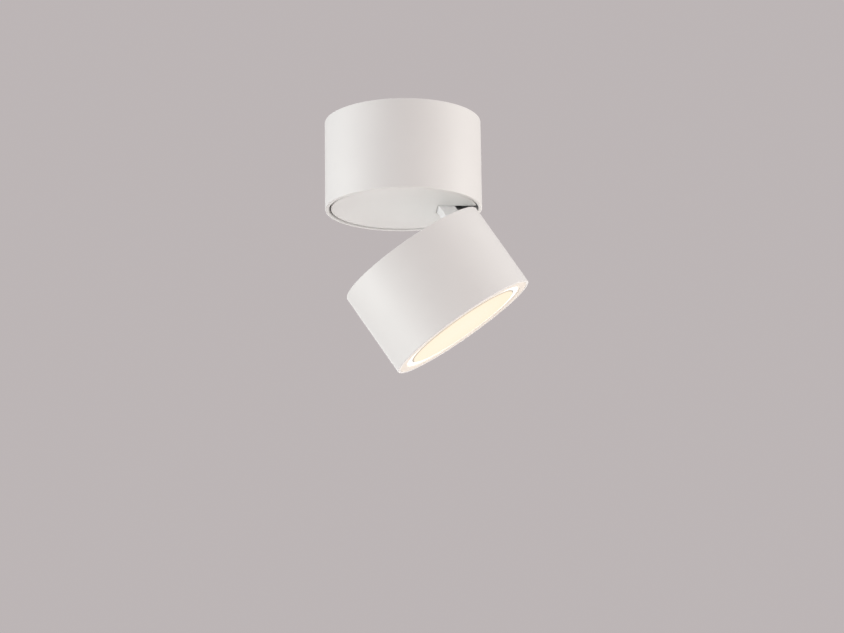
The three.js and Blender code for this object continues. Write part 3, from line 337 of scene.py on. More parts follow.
def prism(loops, low, high, edges=0.0, steps=3):
    """A flat outline with its convex holes, carried from a low level up to a high one, its rims rounded by edges.
    On a rim of radius e the outline is drawn in by e (1 - sin t) at e (1 - cos t) from the end, with t from
    0 to 90 degrees, along the mitre of the two sides that meet at each point."""
    below, above = (edges, edges) if np.isscalar(edges) else edges
    t = np.linspace(0, pi / 2, steps + 1)
    rows = []
    for edge, level, way in ((below, low, 1), (above, high, -1)):
        arc = np.stack([edge * (1 - np.sin(t)), level + way * edge * (1 - np.cos(t))], 1)
        ends = [(edge * 1.3, level), *arc, (0, level + way * edge * 1.3)] if edge else [(0, level)]
        rows += ends[::way]
    inset, level = np.array(rows).T
    points, quads, rims, count = [], [], [], 0
    for i, loop in enumerate(loops):
        loop = left_of(softened(loop), i == 0)
        side = np.roll(loop, -1, 0) - loop
        side /= np.hypot(*side.T)[:, None]
        normal = np.stack([-side[:, 1], side[:, 0]], 1)
        both = normal + np.roll(normal, 1, 0)
        mitre = both / (1 + (normal * np.roll(normal, 1, 0)).sum(1))[:, None]
        flat = loop[None] + inset[:, None, None] * mitre[None]
        grid = np.concatenate([flat, np.repeat(level[:, None, None], len(loop), 1)], 2)
        number = count + np.arange(grid.shape[0] * len(loop)).reshape(grid.shape[:2])
        quads.append(quads_over(np.hstack([number, number[:, :1]])))
        points.append(grid.reshape(-1, 3))
        rims.append((number[0], number[-1]))
        count += grid.shape[0] * len(loop)
    points = np.vstack(points)
    caps = []
    for end, way in ((0, -1), (1, 1)):
        rim = np.concatenate([each[end] for each in rims])
        sides = np.concatenate([np.stack([each[end], np.roll(each[end], -1)], 1) for each in rims])
        spots, sides = points[rim, :2].tolist(), np.searchsorted(rim, sides).tolist()
        filled = delaunay_2d_cdt([Vector(spot) for spot in spots], sides, [], 1, 1e-7)
        if not all(filled[3]):
            raise RuntimeError("an outline crosses itself where its rim is drawn in")
        faces = np.array([sources[0] for sources in filled[3]])[np.array(filled[2], int)]
        loop = np.repeat(np.arange(len(rims)), [len(each[end]) for each in rims])[faces]
        inside = (loop[:, 0] == 0) | (loop != loop[:, :1]).any(1)
        caps.append(rim[faces[inside]][:, ::way])
    return welded(points, np.vstack(quads), np.vstack(caps))


def arc(radius, turn, x=0.0, y=0.0):
    """Points at some angles round a place, at x + r cos t and y + r sin t."""
    return np.stack([x + radius * np.cos(turn), y + radius * np.sin(turn)], 1)


def circle(radius, x=0.0, y=0.0, steps=0):
    """A circle's outline: an arc whose angles go once round in even steps."""
    turn = np.arange(steps or round_steps(radius))
    return arc(radius, turn * (2 * pi / len(turn)), x, y)


def screw_circles(spots):
    """The outlines of small screws' holes."""
    return [circle(SMALL_HOLE, *spot) for spot in spots]


def rectangle(x, y, corner=0.0):
    """A rectangle's outline between two places along each axis, its corners rounded."""
    return softened([(x[0], y[0]), (x[1], y[0]), (x[1], y[1]), (x[0], y[1])], corner)


def block(x, y, z, corner=0.5, edges=0.3):
    """A block between two places along each axis, with rounded upright corners and rims."""
    return prism([rectangle(x, y, corner)], *z, edges)


def lengthwise_y(outline, low, high, edges=0.3, holes=()):
    """An outline of x and z with its holes, carried along Y."""
    return prism([[(z, x, *more) for x, z, *more in loop] for loop in (outline, *holes)], low, high, edges).along_y()


def disc(radius, low, high, below=0.0, above=0.0, steps=0):
    """A turned disc between two levels, with its edges rounded below and above."""
    return turned([(0, low), (radius, low, below), (radius, high, above), (0, high)], steps)


def washer(inner, outer, low, high, steps=96):
    """A turned ring between two levels, with rounded edges."""
    return turned(softened([(inner, low), (outer, low), (outer, high), (inner, high)], 0.15), steps)


def drill(radius, low, high, flare=0.15):
    """A cutter for a round hole between two faces that widens by its flare at both of them."""
    wide = radius + flare + OVER
    return turned([(0, low - OVER), (wide, low - OVER), (radius, low + flare), (radius, high - flare),
                   (wide, high + OVER), (0, high + OVER)])


def sink_hole(radius, bottom, face, flare=0.15):
    """A cutter for a round blind hole that opens upwards at a face."""
    return turned([(0, bottom), (radius, bottom), (radius, face - flare), (radius + flare + OVER, face + OVER),
                   (0, face + OVER)])


def combined(solids):
    """Several solids as one, their points and faces one after another."""
    starts = np.cumsum([0] + [len(solid.points) for solid in solids[:-1]])
    return Solid(
        np.vstack([solid.points for solid in solids]),
        np.vstack([solid.quads + start for solid, start in zip(solids, starts)]),
        np.vstack([solid.triangles + start for solid, start in zip(solids, starts)]),
        np.concatenate([solid.marks for solid in solids]),
    )


def at_each(spots, solid):
    """Copies of a solid, one at each spot."""
    return combined([solid.moved(*spot) for spot in spots])


def at_turns(turns, solid):
    """Copies of a solid, one at each angle."""
    return combined([solid.turned(turn) for turn in turns])


def mesh_of(solid, name, scale=1.0):
    """A mesh with the points and faces of a solid."""
    mesh = bpy.data.meshes.new(name)
    mesh.from_pydata((solid.points * scale).tolist(), [], solid.triangles.tolist() + solid.quads.tolist())
    return mesh


def placed(name, data):
    """A new object in the scene."""
    made = bpy.data.objects.new(name, data)
    bpy.context.scene.collection.objects.link(made)
    return made


def worked(solid, operation, tools):
    """The solid after a Boolean with each tool in turn, on objects that are taken away again."""
    objects = [placed("workpiece", mesh_of(each, "workpiece")) for each in (solid, *tools)]
    for tool in objects[1:]:
        change = objects[0].modifiers.new("work", "BOOLEAN")
        change.operation, change.solver, change.object = operation, "EXACT", tool
    result = objects[0].evaluated_get(bpy.context.evaluated_depsgraph_get())
    mesh = result.to_mesh()
    work = bmesh.new()
    work.from_mesh(mesh)
    bmesh.ops.triangulate(work, faces=work.faces)
    work.to_mesh(mesh)
    points = np.empty(len(mesh.vertices) * 3, np.float32)
    triangles = np.empty(len(mesh.polygons) * 3, np.int32)
    mesh.vertices.foreach_get("co", points)
    mesh.polygons.foreach_get("vertices", triangles)
    work.free()
    result.to_mesh_clear()
    for each in objects:
        bpy.data.meshes.remove(each.data)
    if not len(triangles):
        raise RuntimeError(f"nothing is left of a solid after its {operation.lower()}")
    return Solid(points, triangles=triangles)


def cut(solid, *tools):
    """The solid without what its tools take away."""
    return worked(solid, "DIFFERENCE", tools)


def joined(solid, *others):
    """The solid and the others as one closed body."""
    return worked(solid, "UNION", others)


def route(points, gap):
    """A smooth path through points, in even steps: a centripetal Catmull-Rom curve, whose tangents weigh
    each stretch by the square root of its length."""
    points = np.asarray(points, float)
    ends = np.vstack([2 * points[:1] - points[1:2], points, 2 * points[-1:] - points[-2:-1]])
    a, b, c, d = ends[:-3], ends[1:-2], ends[2:-1], ends[3:]
    first, middle, last = (np.sqrt(np.linalg.norm(q - p, axis=1))[:, None] for p, q in ((a, b), (b, c), (c, d)))
    leaving = ((b - a) / first - (c - a) / (first + middle) + (c - b) / middle) * middle
    coming = ((c - b) / middle - (d - b) / (middle + last) + (d - c) / last) * middle
    t = np.linspace(0, 1, 40, endpoint=False)[None, :, None]
    b, c, leaving, coming = (value[:, None] for value in (b, c, leaving, coming))
    curve = b + leaving * t + (3 * (c - b) - 2 * leaving - coming) * t**2 + (2 * (b - c) + leaving + coming) * t**3
    curve = np.vstack([curve.reshape(-1, 3), points[-1:]])
    along = np.concatenate([[0], np.cumsum(np.linalg.norm(np.diff(curve, axis=0), axis=1))])
    even = np.linspace(0, along[-1], max(int(along[-1] / gap), 8))
    return np.stack([np.interp(even, along, column) for column in curve.T], 1)


def tube(points, radius, sides=20):
    """A round cord along a route. A ring of the radius stands square to the path at each step, and each
    point's mark is the cosine of its angle round the cord."""
    path = route(points, radius * 0.5)
    heading = np.gradient(path, axis=0)
    heading /= np.linalg.norm(heading, axis=1)[:, None]
    guides = np.array([(x, y, z) for x in (-1, 0, 1) for y in (-1, 0, 1) for z in (0.3, 1)], float)
    guides /= np.linalg.norm(guides, axis=1)[:, None]
    clear = np.linalg.norm(np.cross(heading[None], guides[:, None]), axis=2).min(1)
    side = np.cross(heading, guides[clear.argmax()])
    side /= np.linalg.norm(side, axis=1)[:, None]
    up = np.cross(side, heading)
    rows = np.clip(np.arange(-2, len(path) + 2), 0, len(path) - 1)
    path, side, up, heading, size = path[rows], side[rows], up[rows], heading[rows], np.full(len(rows), radius)
    path[2] += heading[2] * radius * 0.1
    path[-3] -= heading[-3] * radius * 0.1
    size[[0, -1]], size[[1, -2]] = 0, 0.9 * radius
    turn = np.arange(sides) * (2 * pi / sides)
    ring = side[:, None] * np.cos(turn)[:, None] + up[:, None] * np.sin(turn)[:, None]
    marks = np.repeat(np.cos(turn)[None], len(path), 0)
    return skin(path[:, None] + size[:, None, None] * ring, marks=marks)


def thread(radius, low, high, pitch, bite):
    """A threaded shank that ends at the high level. At level z and angle t its radius is drawn in by half the
    bite times 1 + cos(2 pi z / pitch - t), and over the last turn it narrows to a blunt tip."""
    level = np.linspace(low, high, int((high - low) / pitch * 8) + 2)[:, None]
    turn = np.arange(28)[None] * (2 * pi / 28)
    size = radius - bite * (1 + np.cos(2 * pi * level / pitch - turn)) / 2
    size = size * (0.72 + 0.28 * np.clip((high - level) / pitch, 0, 1))
    size = np.vstack([size[:1] * 0, size, size[-1:] * 0])
    level = np.vstack([level[:1], level, level[-1:]]) + 0 * turn
    return skin(np.stack([size * np.cos(turn), size * np.sin(turn), level], -1))


@lru_cache(maxsize=None)
def pan_screw(radius, length):
    """A slotted pan-head screw that points up, its head under level zero. The head's dome has the radius
    R sin t and the depth 0.4 h + 0.6 h cos t, with t from 90 to 0 degrees."""
    head, height = 1.8 * radius, 1.1 * radius
    t = np.linspace(pi / 2, 0, 8)
    dome = np.stack([head * np.sin(t), -height * (0.4 + 0.6 * np.cos(t))], 1)
    cap = turned([(0, 0), (head - 0.1, 0), (head, -0.1), *dome], 40)
    slot = block((-2 * head, 2 * head), (-0.2 * radius, 0.2 * radius), (-height - OVER, -height * 0.5), 0, 0)
    return joined(cut(cap, slot), thread(radius, -height * 0.3, length, 0.42 * radius, 0.24 * radius))


def screw_up(radius, seat, tip, spot):
    """A screw that points up, its head under the level of its seat."""
    return pan_screw(radius, round(tip - seat, 4)).moved(*spot, seat)


def screw_down(seat, tip, spot):
    """A small screw that points down, its head over the level of its seat."""
    return pan_screw(SMALL_SCREW, round(seat - tip, 4)).flipped().moved(*spot, seat)


def hex_nut(radius, bore, low, high):
    """A hexagon nut: a ring whose rims fall away by 30 degrees, kept where a prism of the hexagon is."""
    hexagon = arc(radius, np.radians(np.arange(30, 390, 60)))
    hexagon = prism([softened(hexagon, 0.04 * radius)], low - OVER, high + OVER)
    fall = 0.2 * radius * tan(radians(30))
    wide, flat, lip = 1.06 * radius, 0.86 * radius, bore + 0.12 * (radius - bore)
    ring = turned([(lip, low), (flat, low), (wide, low + fall), (wide, high - fall), (flat, high), (lip, high),
                   (bore, high - (lip - bore)), (bore, low + lip - bore)], 96)
    return worked(ring, "INTERSECT", [hexagon])


def stadium(x, y, length, width):
    """A slot's outline along X: two half circles about its ends."""
    right = arc(width / 2, np.linspace(-pi / 2, pi / 2, 13), (length - width) / 2)
    return np.vstack([right, -right]) + (x, y)


# Finishes


class Finish:
    """A material under way: a principled shader, and its place on the object in millimetres."""

    def __init__(self, name, stretch=(1, 1, 1), **sockets):
        self.material = bpy.data.materials.new(name)
        self.material.use_nodes = True
        self.tree = self.material.node_tree
        self.tree.nodes.clear()
        self.object = self.add("ShaderNodeTexCoord").outputs["Object"]
        scale = [share / MM for share in stretch]
        self.place = self.add("ShaderNodeMapping", {"Vector": self.object, "Scale": scale}).outputs[0]
        self.shader = self.add("ShaderNodeBsdfPrincipled")
        self.add("ShaderNodeOutputMaterial", {"Surface": self.shader.outputs[0]})
        for socket, value in sockets.items():
            self.set(socket.replace("_", " ").title().replace("Ior", "IOR"), value)

    def add(self, kind, sockets=None, **settings):
        """A new node, each of its sockets set to a value or linked to another node's output."""
        node = self.tree.nodes.new(kind)
        for name, value in settings.items():
            setattr(node, name, value)
        for name, value in (sockets or {}).items():
            if isinstance(value, bpy.types.NodeSocket):
                self.tree.links.new(value, node.inputs[name])
            else:
                node.inputs[name].default_value = value
        return node

    def set(self, socket, value):
        """Sets or links a socket of the shader."""
        if isinstance(value, bpy.types.NodeSocket):
            self.tree.links.new(value, self.shader.inputs[socket])
        else:
            self.shader.inputs[socket].default_value = value

    def noise(self, scale, detail=2.0):
        """Noise with so many waves to a millimetre."""
        sockets = {"Vector": self.place, "Scale": scale, "Detail": detail}
        return self.add("ShaderNodeTexNoise", sockets).outputs[0]

    def between(self, value, low, high):
        """A noise value, which lies mostly between 0.3 and 0.7, spread between two numbers."""
        sockets = {"Value": value, "From Min": 0.3, "From Max": 0.7, "To Min": low, "To Max": high}
        return self.add("ShaderNodeMapRange", sockets).outputs[0]

    def ramp(self, value, *stops):
        """Colours by value, each stop a place and a colour."""
        node = self.add("ShaderNodeValToRGB", {"Fac": value})
        while len(node.color_ramp.elements) < len(stops):
            node.color_ramp.elements.new(0.5)
        for element, (spot, colour) in zip(node.color_ramp.elements, stops):
            element.position = spot
            element.color = (*colour[:3], 1)
        return node.outputs[0]

    def drift(self, colour, share, scale):
        """The colour drifts darker and lighter by a share of itself in soft patches."""
        dark, light = ([min(c * (1 + way * share), 1) for c in colour] for way in (-1, 1))
        self.set("Base Color", self.ramp(self.noise(scale), (0.35, dark), (0.65, light)))
        return self

    def sheen(self, low, high, scale):
        """Roughness varies between two values with a grain."""
        self.set("Roughness", self.between(self.noise(scale), low, high))
        return self

    def relief(self, height, scale, fine=0.0):
        """Waves of a height in millimetres, with grain six times as fine on them."""
        waves = self.noise(scale)
        if fine:
            grain = {0: self.noise(scale * 6), 1: fine, 2: waves}
            waves = self.add("ShaderNodeMath", grain, operation="MULTIPLY_ADD").outputs[0]
        bump = self.add("ShaderNodeBump", {"Height": waves, "Strength": 1.0, "Distance": height * MM})
        self.set("Normal", bump.outputs[0])
        return self


def finishes():
    """The colours and strengths of the panel."""
    return bpy.context.scene.spotlight_finishes


# The plain finishes. Each has a colour of the panel or its own, the share of the colour's drift and its scale,
# the lowest and highest roughness and its scale, the relief's height, scale and grain, and shader sockets.
METAL = {"metallic": 1.0}
COATS = {
    # Satin powder coat with soft orange peel, the arm's copy of it made brighter as painted light, and the lip's,
    # warm tinted and faintly glowing as painted light from the glow beside it
    "powder_coat": ("powder", (0.012, 0.03), (0.40, 0.50, 2.5), (0.006, 0.9, 0.25), {"specular_ior_level": 0.45}),
    # Brighter than the powder coat: painted light on the arm, which sits in shade between the canopy and the head
    "arm_coat": ("arm", (0.01, 0.03), (0.28, 0.38, 2.5), (0.004, 0.9, 0.25), {"specular_ior_level": 0.5}),
    # The lip's warm tint and faint emission are painted glow from the diffuser beside it
    "lip_coat": ("lip", (0.012, 0.03), (0.5, 0.6, 2.5), (0.0015, 0.9, 0.25),
                 {"ior": 1.2, "emission_color": (1, 0.95, 0.88, 1), "emission_strength": 0.05}),
    # Semi-gloss moulded plastic, bright reflector lacquer, waxy nylon, matt rubber and the emitter's gel
    "white_plastic": ("plastic", (0.015, 0.05), (0.26, 0.38, 1.6), (0.003, 1.2, 0.3), {"subsurface_weight": 0.04}),
    "mirror_plastic": ("plastic", (0.01, 0.08), (0.12, 0.2, 1.0), (0.002, 0.6),
                       {"coat_weight": 0.5, "coat_roughness": 0.08}),
    "nylon": ((0.86, 0.83, 0.74), (0.03, 0.3), (0.42, 0.55, 1.5), (0.004, 1.5, 0.3), {"subsurface_weight": 0.15}),
    "black_rubber": ((0.028, 0.028, 0.03), (0.3, 0.4), (0.7, 0.9, 1.2), (0.012, 1.8, 0.4),
                     {"specular_ior_level": 0.3}),
    "phosphor": ("phosphor", (0.1, 1.5), (0.35, 0.5, 3.0), (0.01, 2.5, 0.4),
                 {"coat_weight": 0.4, "coat_roughness": 0.15}),
    # Zinc plated sheet with rolling lines along X, screws with a plating grain, cast aluminium, tarnished brass
    "zinc_steel": ("zinc", (0.04, 0.2), (0.26, 0.36, 1.4), (0.0025, 2.2, 0.3), {"stretch": (0.12, 1, 1), **METAL}),
    "plated_screw": ("zinc", (0.08, 0.9), (0.2, 0.34, 3.0), (0.002, 3.0), METAL),
    "cast_aluminium": ("aluminium", (0.07, 0.3), (0.38, 0.55, 1.8), (0.012, 1.6, 0.4), METAL),
    "brass": ("brass", (0.16, 0.4), (0.2, 0.38, 1.5), (0.003, 2.0), METAL),
}

# Small parts, by colour, how metallic they are, and their lowest and highest roughness
COATS.update({name: (colour, (0.06, 0.6), (low, high, 2.0), (0.004, 1.5, 0.3), {"metallic": metallic})
              for name, colour, metallic, low, high in (
                  ("ferrite", (0.05, 0.05, 0.055), 0, 0.35, 0.5), ("bobbin", (0.06, 0.055, 0.05), 0, 0.35, 0.5),
                  ("copper", (0.85, 0.42, 0.24), 1, 0.2, 0.35), ("tape", (0.78, 0.6, 0.12), 0, 0.35, 0.5),
                  ("can_sleeve", (0.03, 0.05, 0.12), 0, 0.25, 0.35), ("can_lid", (0.75, 0.76, 0.78), 1, 0.25, 0.35),
                  ("white_mask", (0.82, 0.82, 0.8), 0, 0.3, 0.42), ("solder", (0.7, 0.71, 0.72), 1, 0.2, 0.35),
                  ("ceramic", (0.85, 0.85, 0.83), 0, 0.35, 0.5))})

# Satin cable sheaths: drawn plastic with faint waves
SHEATH = (0.36, 0.5, 2.0), (0.006, 0.7, 0.3)
COATS.update({name: (name, (0.05, 0.25), *SHEATH, {"specular_ior_level": 0.4})
              for name in ("neutral_blue", "live_brown", "cable_white")})


@lru_cache(maxsize=None)
def coat(name):
    """A plain finish by its name."""
    colour, drift, sheen, relief, sockets = COATS[name]
    colour = getattr(finishes(), colour) if isinstance(colour, str) else colour
    return Finish(name, **sockets).drift(colour, *drift).sheen(*sheen).relief(*relief).material


def from_face(finish, reach, x=0.0, above=0.0):
    """Distance from a place at the middle of the lit face: one there and nought at a reach in millimetres."""
    sockets = {"Vector": finish.object, "Location": opened([(x, 0, above - HEAD_LENGTH)])[0] * MM,
               "Scale": (reach * MM,) * 3}
    spot = finish.add("ShaderNodeMapping", sockets, vector_type="TEXTURE")
    return finish.add("ShaderNodeTexGradient", {"Vector": spot.outputs[0]}, gradient_type="SPHERICAL").outputs[1]


@lru_cache(maxsize=None)
def glowing_plastic():
    """The white ring, its glow painted light for the light that comes through it from behind, with a painted shadow
    line along its inner edge.
    """
    finish = Finish("glowing_plastic", ior=1.2)
    place, white = from_face(finish, FACE_REACH), finishes().plastic
    # Painted shadow: the base colour and the glow turn dark along the ring's inner edge, by the gap beside the
    # diffuser
    line, clear = (1 - (LENS_RADIUS + RUNNING + past) / FACE_REACH for past in (0.5, 0.75))
    finish.set("Base Color", finish.ramp(place, (clear, white), (line, [0.4 * share for share in white])))
    finish.set("Emission Color", finish.ramp(place, (clear, (1.0, 0.985, 0.96)), (line, (0.25, 0.2, 0.13))))
    finish.set("Emission Strength", finishes().ring_glow)
    return finish.sheen(0.34, 0.42, 1.6).relief(0.001, 1.2, 0.3).material


@lru_cache(maxsize=None)
def opal_glow():
    """Opal plastic lit warm from behind: nearly white in the middle, creamier towards its edge, and darker on
    its side wall, a painted shade for the gap round it."""
    finish = Finish("opal_glow", base_color=(0.3, 0.285, 0.25, 1), ior=1.03)
    edge, heart = finishes().glow_edge, finishes().glow
    middle = [(a + 2 * b) / 3 for a, b in zip(edge, heart)]
    glow = finish.ramp(from_face(finish, 39.5, x=-6, above=0.6), (0.0, edge), (0.35, middle), (0.8, heart))
    # Painted shade: the glow is dimmed on the diffuser's side wall, for the shade of the gap between it and the ring
    wall, face = (1 - (LENS_RADIUS - inside) / FACE_REACH for inside in (0.05, 0.25))
    dimmed = finish.ramp(from_face(finish, FACE_REACH), (wall, (0.58, 0.6, 0.62)), (face, (1, 1, 1)))
    shaded = finish.add("ShaderNodeMix", {0: 1.0, 6: glow, 7: dimmed}, data_type="RGBA", blend_type="MULTIPLY")
    finish.set("Emission Color", shaded.outputs[2])
    finish.set("Emission Strength", finishes().glow_strength)
    return finish.sheen(0.5, 0.62, 2.0).relief(0.004, 1.4, 0.3).material


@lru_cache(maxsize=None)
def solder_mask():
    """Green solder mask, lighter where copper tracks run under it."""
    finish = Finish("solder_mask", coat_weight=0.3, coat_roughness=0.2)
    tracks = {"Vector": finish.place, "Scale": 0.2, "Mortar Size": 0.028, "Mortar Smooth": 0.2, "Brick Width": 1.7,
              "Row Height": 0.31, "Color1": (0.03, 0.17, 0.06, 1), "Color2": (0.036, 0.19, 0.068, 1),
              "Mortar": (0.075, 0.31, 0.12, 1)}
    bricks = finish.add("ShaderNodeTexBrick", tracks, offset=0.37, offset_frequency=3, squash=0.55)
    finish.set("Base Color", bricks.outputs["Color"])
    return finish.sheen(0.3, 0.42, 1.5).relief(0.01, 0.8, 0.2).material


@lru_cache(maxsize=None)
def earth_sheath():
    """Green sheath with a yellow stripe along one side, where the angle's cosine round the wire is high."""
    finish = Finish("earth_sheath", specular_ior_level=0.4)
    mark = finish.add("ShaderNodeAttribute", attribute_name="round").outputs["Fac"]
    finish.set("Base Color", finish.ramp(mark, (0.46, finishes().earth_green), (0.54, finishes().earth_yellow)))
    return finish.sheen(*SHEATH[0]).relief(*SHEATH[1]).material


# Pieces


def size(context, name):
    """A size of the panel in millimetres."""
    return getattr(context.scene.spotlight_sizes, name) / MM


def piece(node, slot, *parts):
    """Puts solids down as one finished piece in a CAD node's place. Each part is a solid with its finish."""
    body = frame["nodes"][node]["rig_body"]
    solids = [solid for solid, _ in parts]
    whole = combined(solids)
    if body == "head":
        whole = whole.shaped(opened(whole.points))
    mesh = mesh_of(whole, node + "_finished", MM)
    for _, look in parts:
        mesh.materials.append(coat(look) if isinstance(look, str) else look)
    counts = [len(solid.triangles) for solid in solids] + [len(solid.quads) for solid in solids]
    kinds = np.repeat(np.tile(np.arange(len(parts)), 2), counts)
    mesh.polygons.foreach_set("material_index", kinds.astype(np.int32))
    if whole.marks.any():
        mesh.attributes.new("round", "FLOAT", "POINT").data.foreach_set("value", whole.marks.astype(np.float32))
    mesh.shade_smooth()
    mesh.set_sharp_from_angle(angle=radians(35))
    mesh.update()
    made = placed(node + "_finished", mesh)
    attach(made, body)
    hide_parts(node)
    return made


class SPOTLIGHT_OT_mounting_plate(bpy.types.Operator):
    """Steel plate on the ceiling: a band cut from a disc, with a tab bent down at each end"""

    bl_idname = "spotlight.mounting_plate"
    bl_label = "Mounting plate"

    def execute(self, context):
        edge, reach, half, relief, notch = size(context, "sheet_edge"), CANOPY_INNER - SEAT, 17.0, 6.6, 38.0
        slot_length, slot_width, inlet, tab_half = 10, 4.4, 6, 6
        outer, inner = asin(half / reach), asin(relief / reach)
        low, high = arc(reach, np.linspace(-outer, -inner, 9)), arc(reach, np.linspace(inner, outer, 9))
        end = [(*low[0], 0.8), *low[1:], (notch, -relief, 0.5), (notch, relief, 0.5), *high[:-1], (*high[-1], 0.8)]
        outline = end + [(-x, -y, *more) for x, y, *more in end]
        slots = [stadium(*spot, slot_length, slot_width) for spot in CEILING_SLOTS]
        holes = [circle(inlet, *CABLE_INLET), circle(MEDIUM_SCREW + THREAD, *EARTH_SCREW)]
        plate = prism([outline, *slots, *holes], -PLATE, 0, edge)
        root, inner, outer, low = 30, 39.06, 41.06, -14
        bend = [(root, -NARROW), (root, NARROW - PLATE), (inner, NARROW - PLATE, 0.8), (inner, low, 0.35),
                (outer, low, 0.35), (outer, -NARROW, 2.2)]
        grub_hole = drill(GRUB_HOLE, inner, outer, 0.2).along_x().moved(z=GRUB_LEVEL)
        tab = cut(lengthwise_y(bend, -tab_half, tab_half, edge), grub_hole)
        piece("mounting_plate", "zinc_steel", (joined(plate, tab, tab.turned(pi)), "zinc_steel"))
        return {"FINISHED"}


class SPOTLIGHT_OT_cable_grommet(bpy.types.Operator):
    """Rubber sleeve in the plate's cable hole: a turned profile with a flange and a tapered tail"""

    bl_idname = "spotlight.cable_grommet"
    bl_label = "Cable grommet"

    def execute(self, context):
        sleeve = turned([(4, -4.5, 0.3), (5, -4.5, 0.3), (8, -3.3, 0.5), (8, -1.8, 0.4), (5.7, -1.8), (5.7, 0, 0.2),
                         (4, 0, 0.4)])
        piece("cable_grommet", "black_rubber", (sleeve.moved(*CABLE_INLET), "black_rubber"))
        return {"FINISHED"}


class SPOTLIGHT_OT_canopy_housing(bpy.types.Operator):
    """Canopy: a turned tube with three lugs for the bridge plate and a hole for each grub screw"""

    bl_idname = "spotlight.canopy_housing"
    bl_label = "Canopy housing"

    def execute(self, context):
        rim, top = size(context, "rim_edge"), BRIDGE_LOW - SEAT
        shell = turned([(CANOPY_INNER, RIM_LEVEL, rim), (LAMP_RADIUS, RIM_LEVEL, rim), (LAMP_RADIUS, 0, 0.3),
                        (CANOPY_INNER, 0, 0.3)], 240, bends=6)
        reach, half, low = CANOPY_INNER - 4.6, 4, top - BRIDGE_LUG
        lug = block((reach, CANOPY_INNER + CANOPY_WALL / 2), (-half, half), (low, top), 1.2)
        hole = drill(SMALL_HOLE, low, top).moved(BRIDGE_REACH)
        grub = drill(GRUB_HOLE, CANOPY_INNER, LAMP_RADIUS, 0.2).along_x().moved(z=GRUB_LEVEL)
        lugs, holes = (at_turns(BRIDGE_TURNS, solid) for solid in (lug, hole))
        shell = cut(joined(shell, lugs), holes, grub, grub.turned(pi))
        piece("canopy_housing", "powder_white", (shell, "powder_coat"))
        return {"FINISHED"}


class SPOTLIGHT_OT_bridge_plate(bpy.types.Operator):
    """Steel bridge plate across the canopy: a round blank with the holes of what it carries, and its stop pin"""

    bl_idname = "spotlight.bridge_plate"
    bl_label = "Bridge plate"

    def execute(self, context):
        post, radius, pin, top = POST_RADIUS + SEAT, 1.0, -10.3, BRIDGE_HIGH + 3.5
        screws = screw_circles([*arc(BRIDGE_REACH, BRIDGE_TURNS), *DRIVER_EARS, TERMINAL_SCREW])
        plate = prism([circle(CANOPY_INNER - SEAT), circle(post), circle(radius + RUNNING, pin), *screws],
                      BRIDGE_LOW, BRIDGE_HIGH, size(context, "sheet_edge"))
        piece("bridge_plate", "zinc_steel", (plate, "zinc_steel"))
        piece("stop_pin", "zinc_steel", (disc(radius, BRIDGE_LOW, top, 0.2, 0.35, 32).moved(pin), "plated_screw"))
        return {"FINISHED"}


class SPOTLIGHT_OT_terminals(bpy.types.Operator):
    """Terminal block with a well and a cross bore at each pole and grooves between, and its clamping screws"""

    bl_idname = "spotlight.terminals"
    bl_label = "Terminals"

    def execute(self, context):
        low, high, back, front, y = TERMINAL_LOW, TERMINAL_HIGH, TERMINAL_BACK, TERMINAL_FRONT, TERMINAL_MIDDLE
        well, depth, poles = 1.9, 5.5, [(x * POLE_SPACING, y) for x in (-1, 0, 1)]
        body = block((-15, 15), (back, front), (low, high), 1.0, size(context, "moulded_edge"))
        groove = [(back - 1, low - 1), (back + 0.5, low - 1), (back + 0.5, high - 0.7), (front - 0.5, high - 0.7),
                  (front - 0.5, low - 1), (front + 1, low - 1), (front + 1, high + 1), (back - 1, high + 1)]
        groove = prism([groove], -0.4, 0.4).along_x()
        grooves = combined([groove.moved(side * POLE_SPACING / 2) for side in (-1, 1)])
        wells = at_each(poles, sink_hole(well, high - depth, high, 0.5))
        bores = at_each([(x, 0, POLE_LEVEL) for x, _ in poles], drill(1.4, back, front, 0.5).along_y())
        body = cut(body, grooves, wells, bores, drill(SMALL_HOLE, low, high).moved(*TERMINAL_SCREW))
        piece("terminal_block", "plastic_white", (body, "white_plastic"))
        radius, top = well - THREAD, high - SEAT
        rod = thread(radius, -top, -(high - depth + SEAT), 0.5, 0.2).flipped()
        clamp = cut(rod, block((-3, 3), (-0.2 * radius, 0.2 * radius), (top - radius * 0.5, top + 1), 0, 0))
        for i, pole in enumerate(poles):
            piece(f"terminal_screw_{i + 1}", "brass", (clamp.moved(*pole), "brass"))
        return {"FINISHED"}


